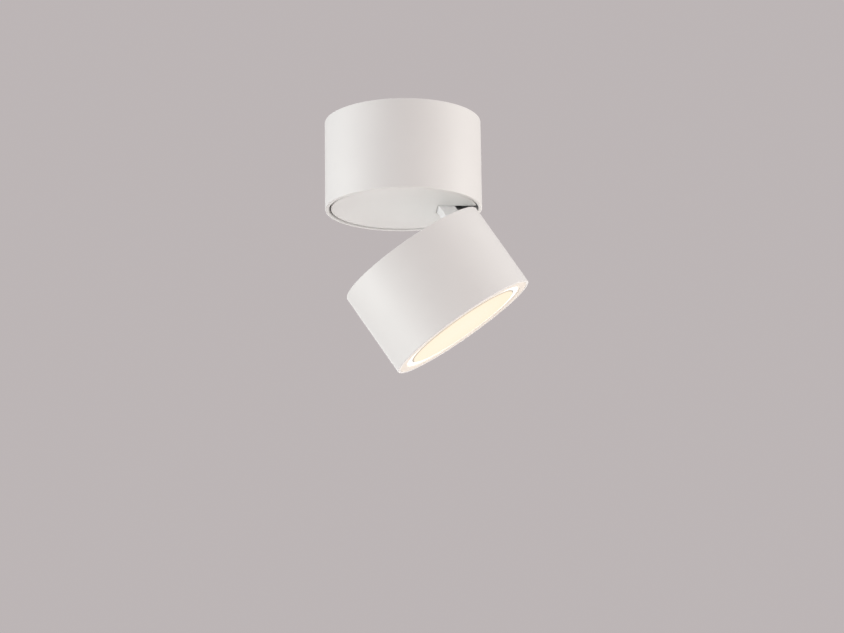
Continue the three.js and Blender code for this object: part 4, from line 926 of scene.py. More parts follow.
class SPOTLIGHT_OT_driver(bpy.types.Operator):
    """LED driver: a base with two ears, a circuit board with its parts, and a cover open below"""

    bl_idname = "spotlight.driver"
    bl_label = "LED driver"

    def execute(self, context):
        half, near, far, y = DRIVER_HALF, DRIVER_NEAR, DRIVER_FAR, DRIVER_MIDDLE
        low, wall = BRIDGE_HIGH + SEAT, 1.2
        end, front, back, under = half + 2 * DRIVER_EAR, y - DRIVER_EAR, y + DRIVER_EAR, low + 1.5 + SEAT
        right = [(half, near, 1), (half, front, 0.8), (end, front, 2.5), (end, back, 2.5), (half, back, 0.8),
                 (half, far, 1)]
        outline = right + [(-x, side, corner) for x, side, corner in right[::-1]]
        base = prism([outline, *screw_circles(DRIVER_EARS)], low, under - SEAT, size(context, "moulded_edge"))
        piece("driver_base", "plastic_white", (base, "white_plastic"))

        shell = prism([rectangle((-half, half), (near, far), 2.0)], DRIVER_LOW, DRIVER_HIGH, (0.15, 1.0), 5)
        room = prism([rectangle((wall - half, half - wall), (near + wall, far - wall), 1.0)], DRIVER_LOW - 2,
                     DRIVER_HIGH - wall, (0, 0.5))
        inlets = at_each([(0, y + side * SPACING / 2, DRIVER_LEVEL) for side in (-1, 1)],
                         drill(WIRE + THREAD, -half, wall - half, 0.2).along_x())
        outlet = drill(CABLE + THREAD, half - wall, half, 0.3).along_x().moved(0, y, DRIVER_LEVEL)
        piece("driver_cover", "plastic_white", (cut(shell, room, inlets, outlet), "white_plastic"))

        top, foot = under + 1.4, under + 1
        reach, across = half - 1.8, (near + 1.8, far - 1.8)
        board = prism([rectangle((-reach, reach), across, 0.6)], under, top, 0.1)
        height = DRIVER_HIGH - wall - top
        radius = ((far - near) / 2 - 3.5) / 2
        end = reach - 1.2 - radius
        long, wide = end - radius - 1.2, (across[1] - y) * 0.67
        core_top, can_top, choke_top = (top + height * share for share in (0.72, 0.78, 0.45))

        def core_part(length, width, levels, corner, edges):
            """A part of the transformer: a block about the driver's middle."""
            return block((-length, length), (y - width, y + width), levels, corner, edges)

        core = core_part(long, wide * 0.66, (foot, core_top), 0.4, 0.25)
        winding = core_part(long * 0.66, wide, (under + 2.6, core_top - 1.8), 2.0, 0.8)
        bobbin = core_part(long, wide, (foot, under + 2.8), 0.4, 0.2)
        can = [(0, foot), (radius, foot, 0.5), (radius, under + 2.4), (radius - 0.35, under + 2.8, 0.2),
               (radius, under + 3.2), (radius, can_top - 0.3, 0.3), (0, can_top - 0.3)]
        can = turned(softened(can, 0.15), 48)
        lid = disc(radius - 0.6, can_top - 1, can_top, 0, 0.15, 48)
        drum = turned([(0, foot), (radius, foot, 0.3), (radius, under + 2.6, 0.2), (radius - 1.6, under + 2.6),
                       (radius - 1.6, choke_top - 1.2), (radius, choke_top - 1.2, 0.2), (radius, choke_top, 0.3),
                       (0, choke_top)], 48)
        level = np.linspace(under + 2.7, choke_top - 1.3, 60)
        wires = [(radius - 1.8, level[0]), *[(radius - 0.5, z) for z in level], (radius - 1.8, level[-1])]
        coil = turned(wires, 48, ripple=lambda z, turn: 0.22 * (1 - np.abs(np.sin(pi * z / 0.7))))
        spots = [(end, y + side * (radius + RUNNING)) for side in (-1, 1)]
        piece("driver_board", "circuit_green", (board, solder_mask()), (core, "ferrite"), (winding, "tape"),
              (bobbin, "bobbin"), (at_each(spots, can), "can_sleeve"), (at_each(spots, lid), "can_lid"),
              (drum.moved(-end, y), "ferrite"), (coil.moved(-end, y), "copper"))
        return {"FINISHED"}


class SPOTLIGHT_OT_screws(bpy.types.Operator):
    """The slotted screws, pan heads with threaded shanks, and the two grub screws with hexagon sockets"""

    bl_idname = "spotlight.screws"
    bl_label = "Screws"

    def execute(self, context):
        def steel(node, solid):
            piece(node, "zinc_steel", (solid, "plated_screw"))

        piece("earth_screw", "brass", (screw_up(MEDIUM_SCREW, -PLATE - SEAT, -RUNNING, EARTH_SCREW), "brass"))
        steel("terminal_fixing_screw", screw_down(TERMINAL_HIGH + SEAT, BRIDGE_LOW, TERMINAL_SCREW))
        for side, ear in zip(("left", "right"), DRIVER_EARS):
            steel(f"driver_screw_{side}", screw_down(DRIVER_LOW, BRIDGE_LOW, ear))
        screw = screw_down(BRIDGE_HIGH + SEAT, BRIDGE_LOW - SEAT - BRIDGE_LUG + 1, (BRIDGE_REACH, 0))
        for i, turn in enumerate(BRIDGE_TURNS):
            steel(f"bridge_screw_{i + 1}", screw.turned(turn))
        for i, side in enumerate(("near", "far")):
            steel(f"bracket_screw_{side}", screw_down(DISC_HIGH + SHEET + 2 * SEAT, DISC_HIGH - 2, BRACKET_SCREWS[i]))
            steel(f"arm_screw_{side}", screw_down(RUNNING, FLANGE_LOW, ARM_SCREWS[i]))
            steel(f"board_screw_{side}", screw_up(SMALL_SCREW, SINK_LOW - 2.2, SINK_LOW + 2.5, BOARD_SCREWS[i]))
        for i, boss in enumerate(BOSSES):
            steel(f"heat_sink_screw_{i + 1}", screw_up(SMALL_SCREW, SINK_LOW - SEAT, SINK_BASE_TOP + 6, boss))
        outer = LAMP_RADIUS - RUNNING
        rod = thread(1.5, 0.6 - outer, 6.4 - outer, 0.5, 0.3).flipped()
        rod = joined(rod, disc(1.42, outer - 1.2, outer, 0, 0.2, 40))
        socket = prism([arc(0.75, np.radians(np.arange(0, 360, 60)))], outer - 1.6, outer + 1)
        grub = cut(rod, socket).along_x().moved(z=GRUB_LEVEL)
        steel("canopy_screw_right", grub)
        steel("canopy_screw_left", grub.turned(pi))
        return {"FINISHED"}


class SPOTLIGHT_OT_wires(bpy.types.Operator):
    """The mains wires, the earth wire and the lamp's cables: round cords along smooth routes"""

    bl_idname = "spotlight.wires"
    bl_label = "Wires and cables"

    def execute(self, context):
        def cable(node, *points):
            piece(node, "white_sheath", (tube(points, CABLE, 28), "cable_white"))

        def way_out(distance):
            """Where the cable is on its way out of the arm's window, in the head's frame."""
            slope = sqrt(0.5) * distance
            return (ARM_FAR + CABLE - slope, 0, ARM_TOP - CABLE + slope)

        pole, into, third = POLE_LEVEL, DRIVER_LEVEL, (TERMINAL_FRONT - TERMINAL_BACK) / 3
        half, y, inside = DRIVER_HALF, DRIVER_MIDDLE, DRIVER_HALF - 1.8
        for side, node, slot, colour, start in (
                (-0.5, "mains_wire_neutral", "blue_sheath", "neutral_blue", 0.0),
                (0.5, "mains_wire_live", "brown_sheath", "live_brown", -POLE_SPACING)):
            inlet, bend = y + side * SPACING, half + (side + 2.5) * SPACING
            points = [(start, TERMINAL_FRONT - third, pole), (start, TERMINAL_FRONT + SPACING, pole),
                      ((start - bend) / 2, -8.1, pole), (-bend, 0, into), (-bend, inlet - SPACING, into),
                      (-half - SPACING, inlet, into), (-inside, inlet, into)]
            piece(node, slot, (tube(points, WIRE), colour))
        x, back = EARTH_SCREW
        head, turn = -PLATE - SEAT - 1.1 * MEDIUM_SCREW, TERMINAL_BACK - SPACING
        points = [(POLE_SPACING, TERMINAL_BACK + third, pole), (POLE_SPACING, turn, pole),
                  (12, turn, (pole + head) / 2), (x, back - SPACING, head - 3 * SPACING),
                  (x, back, head - 2 * SPACING), (x, back, head - SPACING), (x, back, head - SEAT)]
        piece("earth_wire", "green_sheath", (tube(points, WIRE), earth_sheath()))
        bend, above = half + 3 * SPACING, POST_TOP + 8
        cable("output_cable", (inside, y, into), (half + SPACING, y, into), (bend, y - 2 * SPACING, into),
              (bend - SPACING, SPACING, above), (9, 0, above + SPACING / 2), (0, 0, POST_TOP + 2 * CABLE),
              (0, 0, POST_TOP + CABLE), (0, 0, POST_TOP + SEAT))
        tall, apart = WINDOW_HEIGHT, 0.9
        middle = WINDOW_LOW + tall / 2
        cable("swivel_lead", (0, 0, POST_TOP), (0, 0, POST_TOP - CABLE), (0, 0, middle + 2 * tall),
              (0, 0, middle + tall), (1.5, 0, middle + tall / 3), (7, 0, middle),
              *opened([way_out(apart + CABLE), way_out(apart)]))
        beside = SINK_LOW - SEAT - CABLE
        cable("head_lead", way_out(0), way_out(-CABLE), (ARM_MIDDLE, 0, ARM_TOP / 2), (ARM_MIDDLE, 0, 0),
              (ARM_MIDDLE, 0, ARM_LOW), ((ARM_MIDDLE + LEAD_HOLE + 2) / 2, 0, (ARM_LOW + SINK_BASE_TOP) / 2),
              (LEAD_HOLE + 2, 0, SINK_BASE_TOP), (LEAD_HOLE, 0, SINK_LOW), (LEAD_HOLE - 2, 0, beside),
              (BOARD_RADIUS + CABLE, 0, beside), (BOARD_RADIUS + SEAT, 0, beside))
        return {"FINISHED"}


class SPOTLIGHT_OT_turntable_disc(bpy.types.Operator):
    """Cover disc: a round plate with a slot open to its edge, the slot's inner end slanted, and a hub on top"""

    bl_idname = "spotlight.turntable_disc"
    bl_label = "Turntable disc"

    def execute(self, context):
        corner, edge = size(context, "slot_corner"), size(context, "disc_edge")
        slant, half = radians(35), SLOT_HALF
        slope, radius = tan(slant), DISC_RADIUS - 0.3
        end = PIVOT[0] - (PIVOT[0] - ARM_FAR) / cos(slant) - (DISC_LOW - PIVOT[2]) * slope - 0.06
        start = asin(half / radius)
        rim = arc(radius, np.delete(np.linspace(start, 2 * pi - start, 200), [1, 2, 197, 198]))
        outline = [(*rim[0], corner), *rim[1:-1], (*rim[-1], corner), (end, -half, corner), (end, half, corner)]
        plate = prism([outline], DISC_LOW, DISC_HIGH, (edge, edge * 0.6), 4)
        x, y, z = plate.points.T
        inner = (np.abs(y) < half + 1) & (x > end - 3) & (x < end + 3)
        plate = plate.shaped(np.stack([x - inner * slope * (z - DISC_LOW), y, z], 1))
        bore, low = POST_RADIUS + RUNNING, DISC_HIGH - 1
        hub = turned([(bore - 1, low), (9, low), (9, HUB_TOP, 0.4), (bore - 1, HUB_TOP)], 96)
        holes = at_each(BRACKET_SCREWS, sink_hole(SMALL_HOLE, DISC_HIGH - 2 - SEAT, DISC_HIGH))
        plate = cut(joined(plate, hub), sink_hole(bore, DISC_FLOOR, HUB_TOP, 0.3), holes)
        piece("turntable_disc", "powder_white", (plate, "powder_coat"))
        return {"FINISHED"}


class SPOTLIGHT_OT_swivel(bpy.types.Operator):
    """Swivel: the hollow post with its cable window and threaded top, its washers and its nut"""

    bl_idname = "spotlight.swivel"
    bl_label = "Swivel"

    def execute(self, context):
        bore, radius, wide, flat = POST_BORE, POST_RADIUS, 7.0, 9.0
        foot, low, high = DISC_FLOOR + SEAT, HUB_TOP + SEAT, BRIDGE_LOW - 2 * SEAT - WASHER
        threaded = np.linspace(BRIDGE_HIGH + 0.4, POST_TOP - 0.4, 54)
        lower = softened([(bore, foot, 0.2), (radius, foot, 0.3), (radius, low), (wide, low, 0.4), (wide, high, 0.4),
                          (radius, high), (radius, BRIDGE_HIGH)])
        profile = [*lower, *[(radius, z) for z in threaded], (radius - 0.4, POST_TOP), (bore + 0.2, POST_TOP),
                   (bore, POST_TOP - 0.2)]

        def screw_thread(z, turn):
            """Waves on the post's top with a pitch of a millimetre: half their depth times 1 + cos(2 pi z - t)."""
            here, depth = (z > threaded[0] - 0.01) & (z < threaded[-1] + 0.01), 0.45
            return here * depth * (1 + np.cos(2 * pi * z - turn)) / 2

        post = turned(profile, 96, ripple=screw_thread)
        across = bore - RUNNING
        window = block((0, wide + 1), (-across, across), (WINDOW_LOW, WINDOW_LOW + WINDOW_HEIGHT), 0, 0)
        piece("swivel_post", "zinc_steel", (cut(post, window), "plated_screw"))
        inner, seat = radius + RUNNING, high + SEAT
        piece("swivel_washer", "nylon", (washer(inner, flat, seat, seat + WASHER), "nylon"))
        seat, half, rim = BRIDGE_HIGH + SEAT, 1.1, 8.0
        start = asin(half / rim)
        outline = [*arc(rim, np.linspace(start, 2 * pi - start, 90)), (11.4, -half, 0.4), (11.4, half, 0.4)]
        stop = prism([outline, circle(inner)], seat, seat + WASHER, 0.12)
        piece("stop_washer", "zinc_steel", (stop, "zinc_steel"))
        seat += WASHER + SEAT
        piece("swivel_nut", "brass", (hex_nut(8.1, inner, seat, seat + 4), "brass"))
        return {"FINISHED"}


class SPOTLIGHT_OT_hinge_bracket(bpy.types.Operator):
    """Hinge bracket: an angle with two feet on the disc and a lug down to the eye of the tilt axis"""

    bl_idname = "spotlight.hinge_bracket"
    bl_label = "Hinge bracket"

    def execute(self, context):
        edge, low, out, back = size(context, "sheet_edge"), DISC_HIGH + SEAT, PIVOT[0], PIVOT[0] - EYE
        near, far, top = SLOT_HALF + SEAT, ARM_HALF + 6.25, low + SHEET
        bend = [(back - 8, low, 0.4), (out, low, 0.8), (out, low + 8, 0.6), (back, low + 8, 0.6), (back, top, 0.8),
                (back - 8, top, 0.4)]
        gap = block((back - 9, back + NARROW), (-near, near), (low - 1, low + 3), 0, 0)
        eye, bore = arc(EYE, np.linspace(-pi, pi / 2, 30), out, PIVOT[2]), circle(HINGE_BORE, out, PIVOT[2])
        lug = [(back, top - 0.1), *eye, (out - NARROW, top - 0.1)]
        lug = lengthwise_y(lug, -LUG_HALF, LUG_HALF, edge, [bore])
        holes = at_each(BRACKET_SCREWS, drill(SMALL_HOLE, low, top))
        bracket = joined(cut(lengthwise_y(bend, -far, far, edge), gap, holes), lug)
        piece("hinge_bracket", "zinc_steel", (bracket, "zinc_steel"))
        return {"FINISHED"}


class SPOTLIGHT_OT_hinge_arm(bpy.types.Operator):
    """Hinge arm: a hollow square post with a flange under the head's top and two ears round the hinge pin"""

    bl_idname = "spotlight.hinge_arm"
    bl_label = "Hinge arm"

    def execute(self, context):
        half, edge, axis, channel = ARM_HALF, size(context, "arm_edge"), (PIVOT[0], -PIVOT_DEPTH), 2.3
        low, top, inside, ear = ARM_LOW, ARM_TOP, ARM_NEAR - 1, LUG_HALF + 2 * RUNNING + WASHER
        post = [(ARM_FAR, low), (ARM_NEAR, low), (ARM_NEAR, top), (ARM_FAR, top)]
        post = lengthwise_y(softened(post, 1.4 * edge), -half, half, edge)
        flange = rectangle((ARM_FAR - 9, ARM_NEAR - 0.1), (-half - 3.5, half + 3.5), 1.2)
        loops = [flange, circle(channel + 0.4, ARM_MIDDLE), *screw_circles(ARM_SCREWS)]
        flange = prism(loops, FLANGE_LOW, FLANGE_TOP, 0.25)
        eye = [(inside, low + 0.03), *arc(EYE, np.linspace(-pi / 2, pi / 2, 25), *axis), (inside, EYE - PIVOT_DEPTH)]
        ears = [lengthwise_y(eye, *reach, 0.15, [circle(HINGE_BORE, *axis)])
                for reach in ((ear, half - 0.05), (0.05 - half, -ear))]
        window = block((ARM_FAR - 1, ARM_MIDDLE), (-channel, channel), (top - 4.5, top + 1), 0, 0)
        arm = joined(cut(post, drill(channel, low, top, 0.3).moved(ARM_MIDDLE), window), flange, *ears)
        piece("hinge_arm", "powder_white", (arm, "arm_coat"))
        return {"FINISHED"}


class SPOTLIGHT_OT_hinge_pin(bpy.types.Operator):
    """Hinge pin with its domed head, its nut and its two nylon washers, all along the tilt axis"""

    bl_idname = "spotlight.hinge_pin"
    bl_label = "Hinge pin"

    def execute(self, context):
        half = ARM_HALF
        end, tip, low = -half - RUNNING, half + RUNNING + 1.6, LUG_HALF + RUNNING
        t = np.linspace(pi / 2, 0, 7)
        dome = np.stack([2.2 * np.sin(t), end - 1.1 * (0.35 + 0.65 * np.cos(t))], 1)
        pin = turned([(0, tip), (1.0, tip), (1.25, tip - 0.25), (1.25, end), (2.1, end), (2.2, end - 0.1), *dome], 48)
        spacer = washer(HINGE_BORE, 2.8, low, low + WASHER, 48)
        for node, slot, solid, look in (
                ("hinge_pin", "zinc_steel", pin, "plated_screw"),
                ("hinge_nut", "zinc_steel", hex_nut(2.3, HINGE_BORE, half + RUNNING, tip), "plated_screw"),
                ("hinge_washer_far", "nylon", spacer, "nylon"),
                ("hinge_washer_near", "nylon", spacer.flipped(), "nylon")):
            piece(node, slot, (solid.along_y().moved(PIVOT[0], 0, -PIVOT_DEPTH), look))
        return {"FINISHED"}


class SPOTLIGHT_OT_head_housing(bpy.types.Operator):
    """Lamp head: a turned cup with three bosses inside, the arm's notch in its top and two screw holes"""

    bl_idname = "spotlight.head_housing"
    bl_label = "Head housing"

    def execute(self, context):
        wall, front = HEAD_WALL, -HEAD_LENGTH + 0.23
        cup = turned([(0, -wall), (HEAD_INNER, -wall, 0.6), (HEAD_INNER, front, 0.06),
                      (LAMP_RADIUS, front, size(context, "front_edge")),
                      (LAMP_RADIUS, 0, size(context, "head_edge")), (0, 0)], 240, bends=6)
        bosses = at_each(BOSSES, disc(3, SINK_BASE_TOP + SEAT, -wall / 2, 0.3))
        half = ARM_HALF + SEAT
        notch = block((ARM_FAR - SEAT, HEAD_INNER - RUNNING), (-half, half), (-wall - 1, 1), 0.8, 0)
        holes = at_each(ARM_SCREWS, drill(SMALL_HOLE, -wall, 0))
        taps = at_each(BOSSES, disc(SMALL_HOLE, SINK_BASE_TOP - 1, SINK_BASE_TOP + 6.3))
        piece("head_housing", "powder_white", (cut(joined(cup, bosses), notch, holes, taps), "powder_coat"))
        return {"FINISHED"}


class SPOTLIGHT_OT_heat_sink(bpy.types.Operator):
    """Heat sink: a round base with drafted fins, cleared round the hinge, the cable and the bosses"""

    bl_idname = "spotlight.heat_sink"
    bl_label = "Heat sink"

    def execute(self, context):
        radius, top, low, pitch, lead = SINK_RADIUS, -HEAD_WALL - 0.6, SINK_BASE_TOP, 7.0, 2 * 2.4
        root, tip = 0.8, 0.6
        lead_hole = stadium(LEAD_HOLE, 0, 4 + lead, lead)
        base = prism([circle(radius), lead_hole, *screw_circles(BOSSES)], SINK_LOW, low, 0.4)
        fins = []
        for y in pitch * np.arange(-4, 5):
            half = sqrt(radius**2 - (abs(y) + root) ** 2)
            fin = [(y - root, low - 1), (y + root, low - 1), (y + tip, top, 0.35), (y - tip, top, 0.35)]
            fins.append(prism([fin], -half, half, 0.2).along_x())
        room, deep = 13.15, PIVOT_DEPTH + 5.9
        hinge = block((15, LAMP_RADIUS), (-room, room), (-deep, 0), 0, 0)
        lead_room = block((19.2, LAMP_RADIUS), (-lead, lead), (low + NARROW, 0), 0, 0)
        fins = cut(combined(fins), hinge, lead_room, at_each(BOSSES, disc(3.3, low + NARROW, 0)))
        taps = at_each(BOARD_SCREWS, sink_hole(SMALL_HOLE, -(SINK_LOW + 2.8), -SINK_LOW).flipped())
        piece("heat_sink", "bare_aluminium", (joined(cut(base, taps), fins), "cast_aluminium"))
        return {"FINISHED"}


class SPOTLIGHT_OT_light_engine(bpy.types.Operator):
    """Light engine: the LED board with its solder pads, the emitter's dam and gel, and the reflector"""

    bl_idname = "spotlight.light_engine"
    bl_label = "Light engine"

    def execute(self, context):
        top = SINK_LOW - SEAT
        low = top - 1.6
        board = prism([circle(BOARD_RADIUS, steps=96), *screw_circles(BOARD_SCREWS)], low, top, 0.1)
        pad = turned([(0, low - 0.14), (1.1, low - 0.14, 0.1), (1.3, low + 0.1), (0, low + 0.1)], 32)
        pads = at_each([(11.2, -2.4), (11.2, 2.4)], pad)
        piece("led_board", "plastic_white", (board, "white_mask"), (pads, "solder"))
        high = low - SEAT
        floor, bottom = high - 0.4, high - 1
        dam = turned([(6.6, floor), (7.4, floor), (7.3, bottom, 0.3), (6.7, bottom, 0.3)], 96)
        base = combined([disc(8, high, high - 0.45, 0.1, 0.1, 96), dam])
        t = np.linspace(0, 1, 8)
        gel = turned([(0, floor), *np.stack([6.8 * (1 - t), high - 0.72 - 0.18 * np.sin(t * pi / 2)], 1)], 96)
        piece("led_emitter", "phosphor", (gel, "phosphor"), (base, "ceramic"))
        throat, mouth, thick = 10.4, LENS_RADIUS - 0.4, 1.2
        level, face, wide = low - 1.8 * SMALL_SCREW - SEAT, span("reflector", 2)[0], span("reflector", 0)[1]
        bowl = turned([(throat, level, 0.3), (mouth, face, 1.0), (wide, face, 0.2), (wide, face + thick, 0.2),
                       (mouth + thick, face + thick, 0.8), (throat + thick, level, 0.3)], 192)
        piece("reflector", "plastic_white", (bowl, "mirror_plastic"))
        return {"FINISHED"}


class SPOTLIGHT_OT_lit_face(bpy.types.Operator):
    """Lit face: the opal diffuser, the white ring round it and the lip, each a turned profile"""

    bl_idname = "spotlight.lit_face"
    bl_label = "Lit face"

    def execute(self, context):
        edge, corner, nose = size(context, "lens_edge"), 0.15, LENS_RADIUS
        (low, high), wide = span("diffuser", 2), span("diffuser", 0)[1]
        low, inner, flange = low - 0.1, nose - 1.2, high - 0.9
        lens = turned([(0, low), (nose, low, edge), (nose, flange), (wide, flange, corner), (wide, high, corner),
                       (inner, high, corner), (inner, low + 1.2, 0.6), (0, low + 1.2)], 240, bends=5)
        piece("diffuser", "opal", (lens, opal_glow()))
        (low, high), wide = span("diffuser_ring", 2), span("diffuser_ring", 0)[1]
        low, inner, outer, flange = low + 0.6, nose + RUNNING, nose + RUNNING + 4, high - 1.2
        ring = turned([(inner, low, edge), (outer, low, edge), (outer, flange), (wide, flange, corner),
                       (wide, high, corner), (inner, high, corner)], 240, bends=5)
        piece("diffuser_ring", "plastic_white", (ring, glowing_plastic()))
        (low, high), wide, inner = span("front_bezel", 2), HEAD_INNER - 0.05, outer + RUNNING
        low += 0.12
        lip = [(inner, low, 0.5), (wide, low, 0.06), (wide, high, corner), (inner, high, corner)]
        lip = turned(lip, 240, bends=5)
        piece("front_bezel", "powder_white", (lip, "lip_coat"))
        return {"FINISHED"}


def set_up(name, data, spot, *axes):
    """A light or the camera at a spot, with its own three axes."""
    made = placed(name, data)
    made.matrix_world = Matrix.Translation(spot) @ Matrix(np.stack(axes, 1).tolist()).to_4x4()
    return made


class SPOTLIGHT_OT_stage(bpy.types.Operator):
    """The studio: a pale floor far below, a pale room, soft lights at both sides and the photograph's view"""

    bl_idname = "spotlight.stage"
    bl_label = "Studio"

    def execute(self, context):
        looks, scene = finishes(), context.scene
        level, steps = -1.6, 41
        x, y = np.meshgrid(*2 * [np.linspace(-12, 12, steps)])
        mesh = bpy.data.meshes.new("floor")
        mesh.from_pydata(np.stack([x, y, 0 * x + level], -1).reshape(-1, 3).tolist(), [],
                         quads_over(np.arange(steps**2).reshape(steps, steps)).tolist())
        mesh.shade_smooth()
        finish = Finish("floor_paint").drift(looks.floor, 0.01, 0.004).sheen(0.6, 0.75, 0.1)
        mesh.materials.append(finish.relief(0.01, 0.3).material)
        floor = placed("floor", mesh)

        world = bpy.data.worlds.new("room")
        world.use_nodes = True
        world.node_tree.nodes["Background"].inputs["Color"].default_value = (*looks.room, 1)
        scene.world = world
        scene.view_settings.view_transform = "Standard"
        aim = np.array([0.01, 0, -0.06])
        below, side, front, soft = np.array([0, 0, level]), looks.side_light, looks.front_light, (1.0, 0.99, 0.98)
        lights = (("left_light", (-1.2, -0.05, -0.21), aim, side * 1.06, 0.9, (0.93, 1.0, 1.0)),
                  ("right_light", (1.25, -0.2, -0.12), aim, side * 0.9, 0.9, (1.0, 0.99, 0.945)),
                  ("front_light", (0.25, -1.5, -0.36), aim, front, 1.0, soft),
                  ("back_light", (0.2, 1.5, -0.2), aim, front * 1.5, 1.2, soft),
                  ("top_light", (0.1, 0.2, 1.7), aim, front * 2, 1.5, (1.0, 1.0, 1.0)),
                  ("warm_light", (0.95, -0.25, -1.3), aim, looks.warm_light, 0.8, (1.0, 0.84, 0.68)),
                  ("floor_light", (0.0, 0.05, -0.9), below, looks.floor_light, 4.0, soft))
        for name, spot, target, power, width, colour in lights:
            data = bpy.data.lights.new(name, "AREA")
            data.energy, data.shape, data.size, data.color = power, "DISK", width, colour
            back = np.array(spot) - target
            back /= np.linalg.norm(back)
            across = np.cross((0, 0, 1), back)
            across /= np.linalg.norm(across)
            set_up(name, data, spot, across, np.cross(back, across), back).visible_camera = False

        yaw, pitch, roll = (radians(degrees) for degrees in (4.681, 13.619, -0.775))
        ahead = np.array([sin(yaw) * cos(pitch), cos(yaw) * cos(pitch), sin(pitch)])
        level = np.array([cos(yaw), -sin(yaw), 0])
        above = np.cross(level, ahead)
        right = level * cos(roll) + above * sin(roll)
        up = above * cos(roll) - level * sin(roll)
        focal_pixels, picture_width, sensor = 2300, 844, 36.0
        lens = bpy.data.cameras.new("camera")
        lens.sensor_fit, lens.sensor_width, lens.lens = "HORIZONTAL", sensor, focal_pixels * sensor / picture_width
        lens.clip_start, lens.clip_end = 0.01, 50
        scene.camera = set_up("camera", lens, (-0.09165, -1.23543, -0.41267), right, up, -ahead)
        return {"FINISHED"}


# Panel


def length(name, description, default):
    """A size of the panel, its default in millimetres."""
    return FloatProperty(name=name, description=description, default=default * MM, min=0.0, soft_max=0.002,
                         precision=5, unit="LENGTH")


def shade(name, description, default):
    """A colour of the panel."""
    return FloatVectorProperty(name=name, description=description, default=default, min=0.0, max=1.0, size=3,
                               subtype="COLOR")


def strength(name, description, default):
    """A brightness or a power of the panel."""
    return FloatProperty(name=name, description=description, default=default, min=0.0)


class SpotlightSizes(bpy.types.PropertyGroup):
    """Sizes of the lamp's edges"""

    rim_edge: length("Canopy rim", "Radius of the canopy's lower edges", 0.5)
    disc_edge: length("Disc edge", "Radius of the cover disc's lower edge", 0.3)
    slot_corner: length("Slot corners", "Radius of the corners of the disc's slot", 0.7)
    head_edge: length("Head top edge", "Radius of the lamp head's upper edge", 0.45)
    front_edge: length("Head front edge", "Radius of the lamp head's front edge", 0.4)
    arm_edge: length("Arm edges", "Radius of the hinge arm's edges", 0.4)
    lens_edge: length("Lit face edges", "Radius of the front edges of the diffuser and its ring", 0.25)
    sheet_edge: length("Sheet edges", "Radius of the rims of the steel pieces", 0.2)
    moulded_edge: length("Moulded edges", "Radius of the rims of the plastic pieces", 0.35)


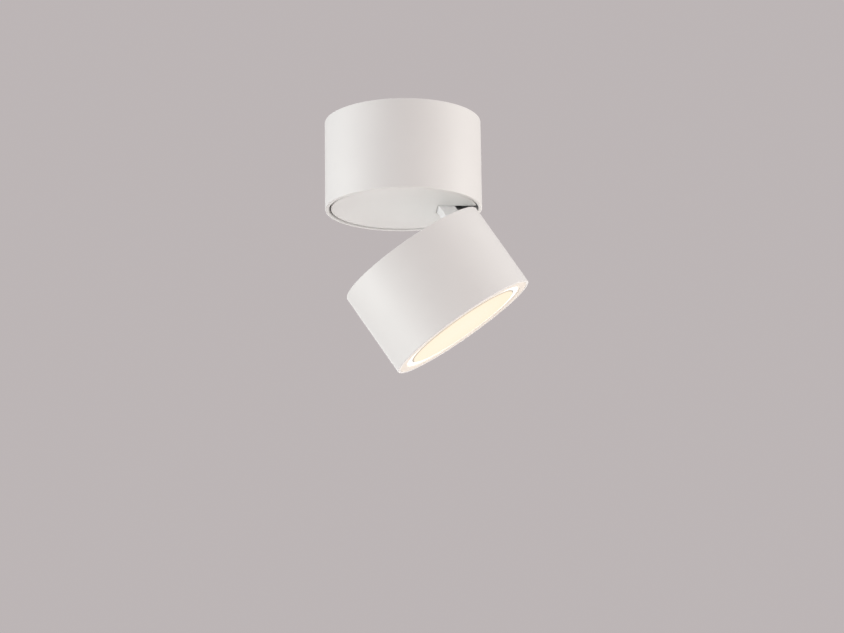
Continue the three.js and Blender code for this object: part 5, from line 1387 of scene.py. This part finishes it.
class SpotlightFinishes(bpy.types.PropertyGroup):
    """Colours of the lamp and strengths of its light and of the studio's"""

    powder: shade("Powder coat", "White of the coated pieces", (0.86, 0.852, 0.835))
    # The arm's brighter white is painted light, for the shade that it sits in between the canopy and the head
    arm: shade("Arm", "White of the hinge arm", (0.94, 0.94, 0.94))
    # The lip's warm tint is painted glow from the diffuser beside it
    lip: shade("Lip", "White of the lip round the light", (0.91, 0.85, 0.77))
    plastic: shade("Plastic", "White of the moulded pieces", (0.84, 0.83, 0.8))
    zinc: shade("Zinc", "Zinc plated steel", (0.74, 0.755, 0.775))
    aluminium: shade("Aluminium", "Cast aluminium", (0.74, 0.75, 0.76))
    brass: shade("Brass", "Plain brass", (0.76, 0.57, 0.28))
    phosphor: shade("Phosphor", "Gel of the emitter", (0.9, 0.62, 0.12))
    live_brown: shade("Live wire", "Brown sheath", (0.16, 0.06, 0.025))
    neutral_blue: shade("Neutral wire", "Blue sheath", (0.03, 0.12, 0.48))
    earth_green: shade("Earth wire", "Green of the earth wire", (0.06, 0.3, 0.05))
    earth_yellow: shade("Earth stripe", "Yellow of the earth wire", (0.85, 0.62, 0.03))
    cable_white: shade("Cable", "White sheath", (0.78, 0.78, 0.76))
    glow: shade("Glow", "Light in the middle of the diffuser", (1.0, 0.85, 0.67))
    glow_edge: shade("Glow at the edge", "Light near the diffuser's edge", (1.0, 0.81, 0.6))
    glow_strength: strength("Glow strength", "Brightness of the diffuser", 0.8)
    # The ring's glow is painted light
    ring_glow: strength("Ring glow", "Brightness of the white ring", 0.5)
    floor: shade("Floor", "Pale floor", (0.82, 0.8, 0.78))
    room: shade("Room", "Pale room round the lamp", (0.505, 0.464, 0.466))
    side_light: strength("Side lights", "Power of each side light in watts", 7.7)
    front_light: strength("Front light", "Power of the light beside the camera in watts", 3.7)
    floor_light: strength("Floor light", "Power of the light on the floor in watts", 2.2)
    warm_light: strength("Warm light", "Power of the warm light from below in watts", 1.6)


MAKERS = (
    SPOTLIGHT_OT_stage, SPOTLIGHT_OT_mounting_plate, SPOTLIGHT_OT_cable_grommet, SPOTLIGHT_OT_canopy_housing,
    SPOTLIGHT_OT_bridge_plate, SPOTLIGHT_OT_terminals, SPOTLIGHT_OT_driver, SPOTLIGHT_OT_screws, SPOTLIGHT_OT_wires,
    SPOTLIGHT_OT_turntable_disc, SPOTLIGHT_OT_swivel, SPOTLIGHT_OT_hinge_bracket, SPOTLIGHT_OT_hinge_arm,
    SPOTLIGHT_OT_hinge_pin, SPOTLIGHT_OT_head_housing, SPOTLIGHT_OT_heat_sink, SPOTLIGHT_OT_light_engine,
    SPOTLIGHT_OT_lit_face,
)


class SPOTLIGHT_PT_panel(bpy.types.Panel):
    """The lamp's pieces, sizes and finishes"""

    bl_idname = "SPOTLIGHT_PT_panel"
    bl_label = "Ceiling Spotlight"
    bl_space_type = "VIEW_3D"
    bl_region_type = "UI"
    bl_category = "Spotlight"

    def draw(self, context):
        for maker in MAKERS:
            self.layout.operator(maker.bl_idname)
        for group in (context.scene.spotlight_sizes, context.scene.spotlight_finishes):
            box = self.layout.box()
            for name in group.__annotations__:
                box.prop(group, name)


CLASSES = (SpotlightSizes, SpotlightFinishes, *MAKERS, SPOTLIGHT_PT_panel)


def register():
    for each in CLASSES:
        bpy.utils.register_class(each)
    bpy.types.Scene.spotlight_sizes = PointerProperty(type=SpotlightSizes)
    bpy.types.Scene.spotlight_finishes = PointerProperty(type=SpotlightFinishes)


def unregister():
    del bpy.types.Scene.spotlight_finishes
    del bpy.types.Scene.spotlight_sizes
    for each in reversed(CLASSES):
        bpy.utils.unregister_class(each)


def main():
    """Registers the add-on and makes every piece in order."""
    register()
    for maker in MAKERS:
        group, name = maker.bl_idname.split(".")
        getattr(getattr(bpy.ops, group), name)()


if __name__ == "__main__":
    main()
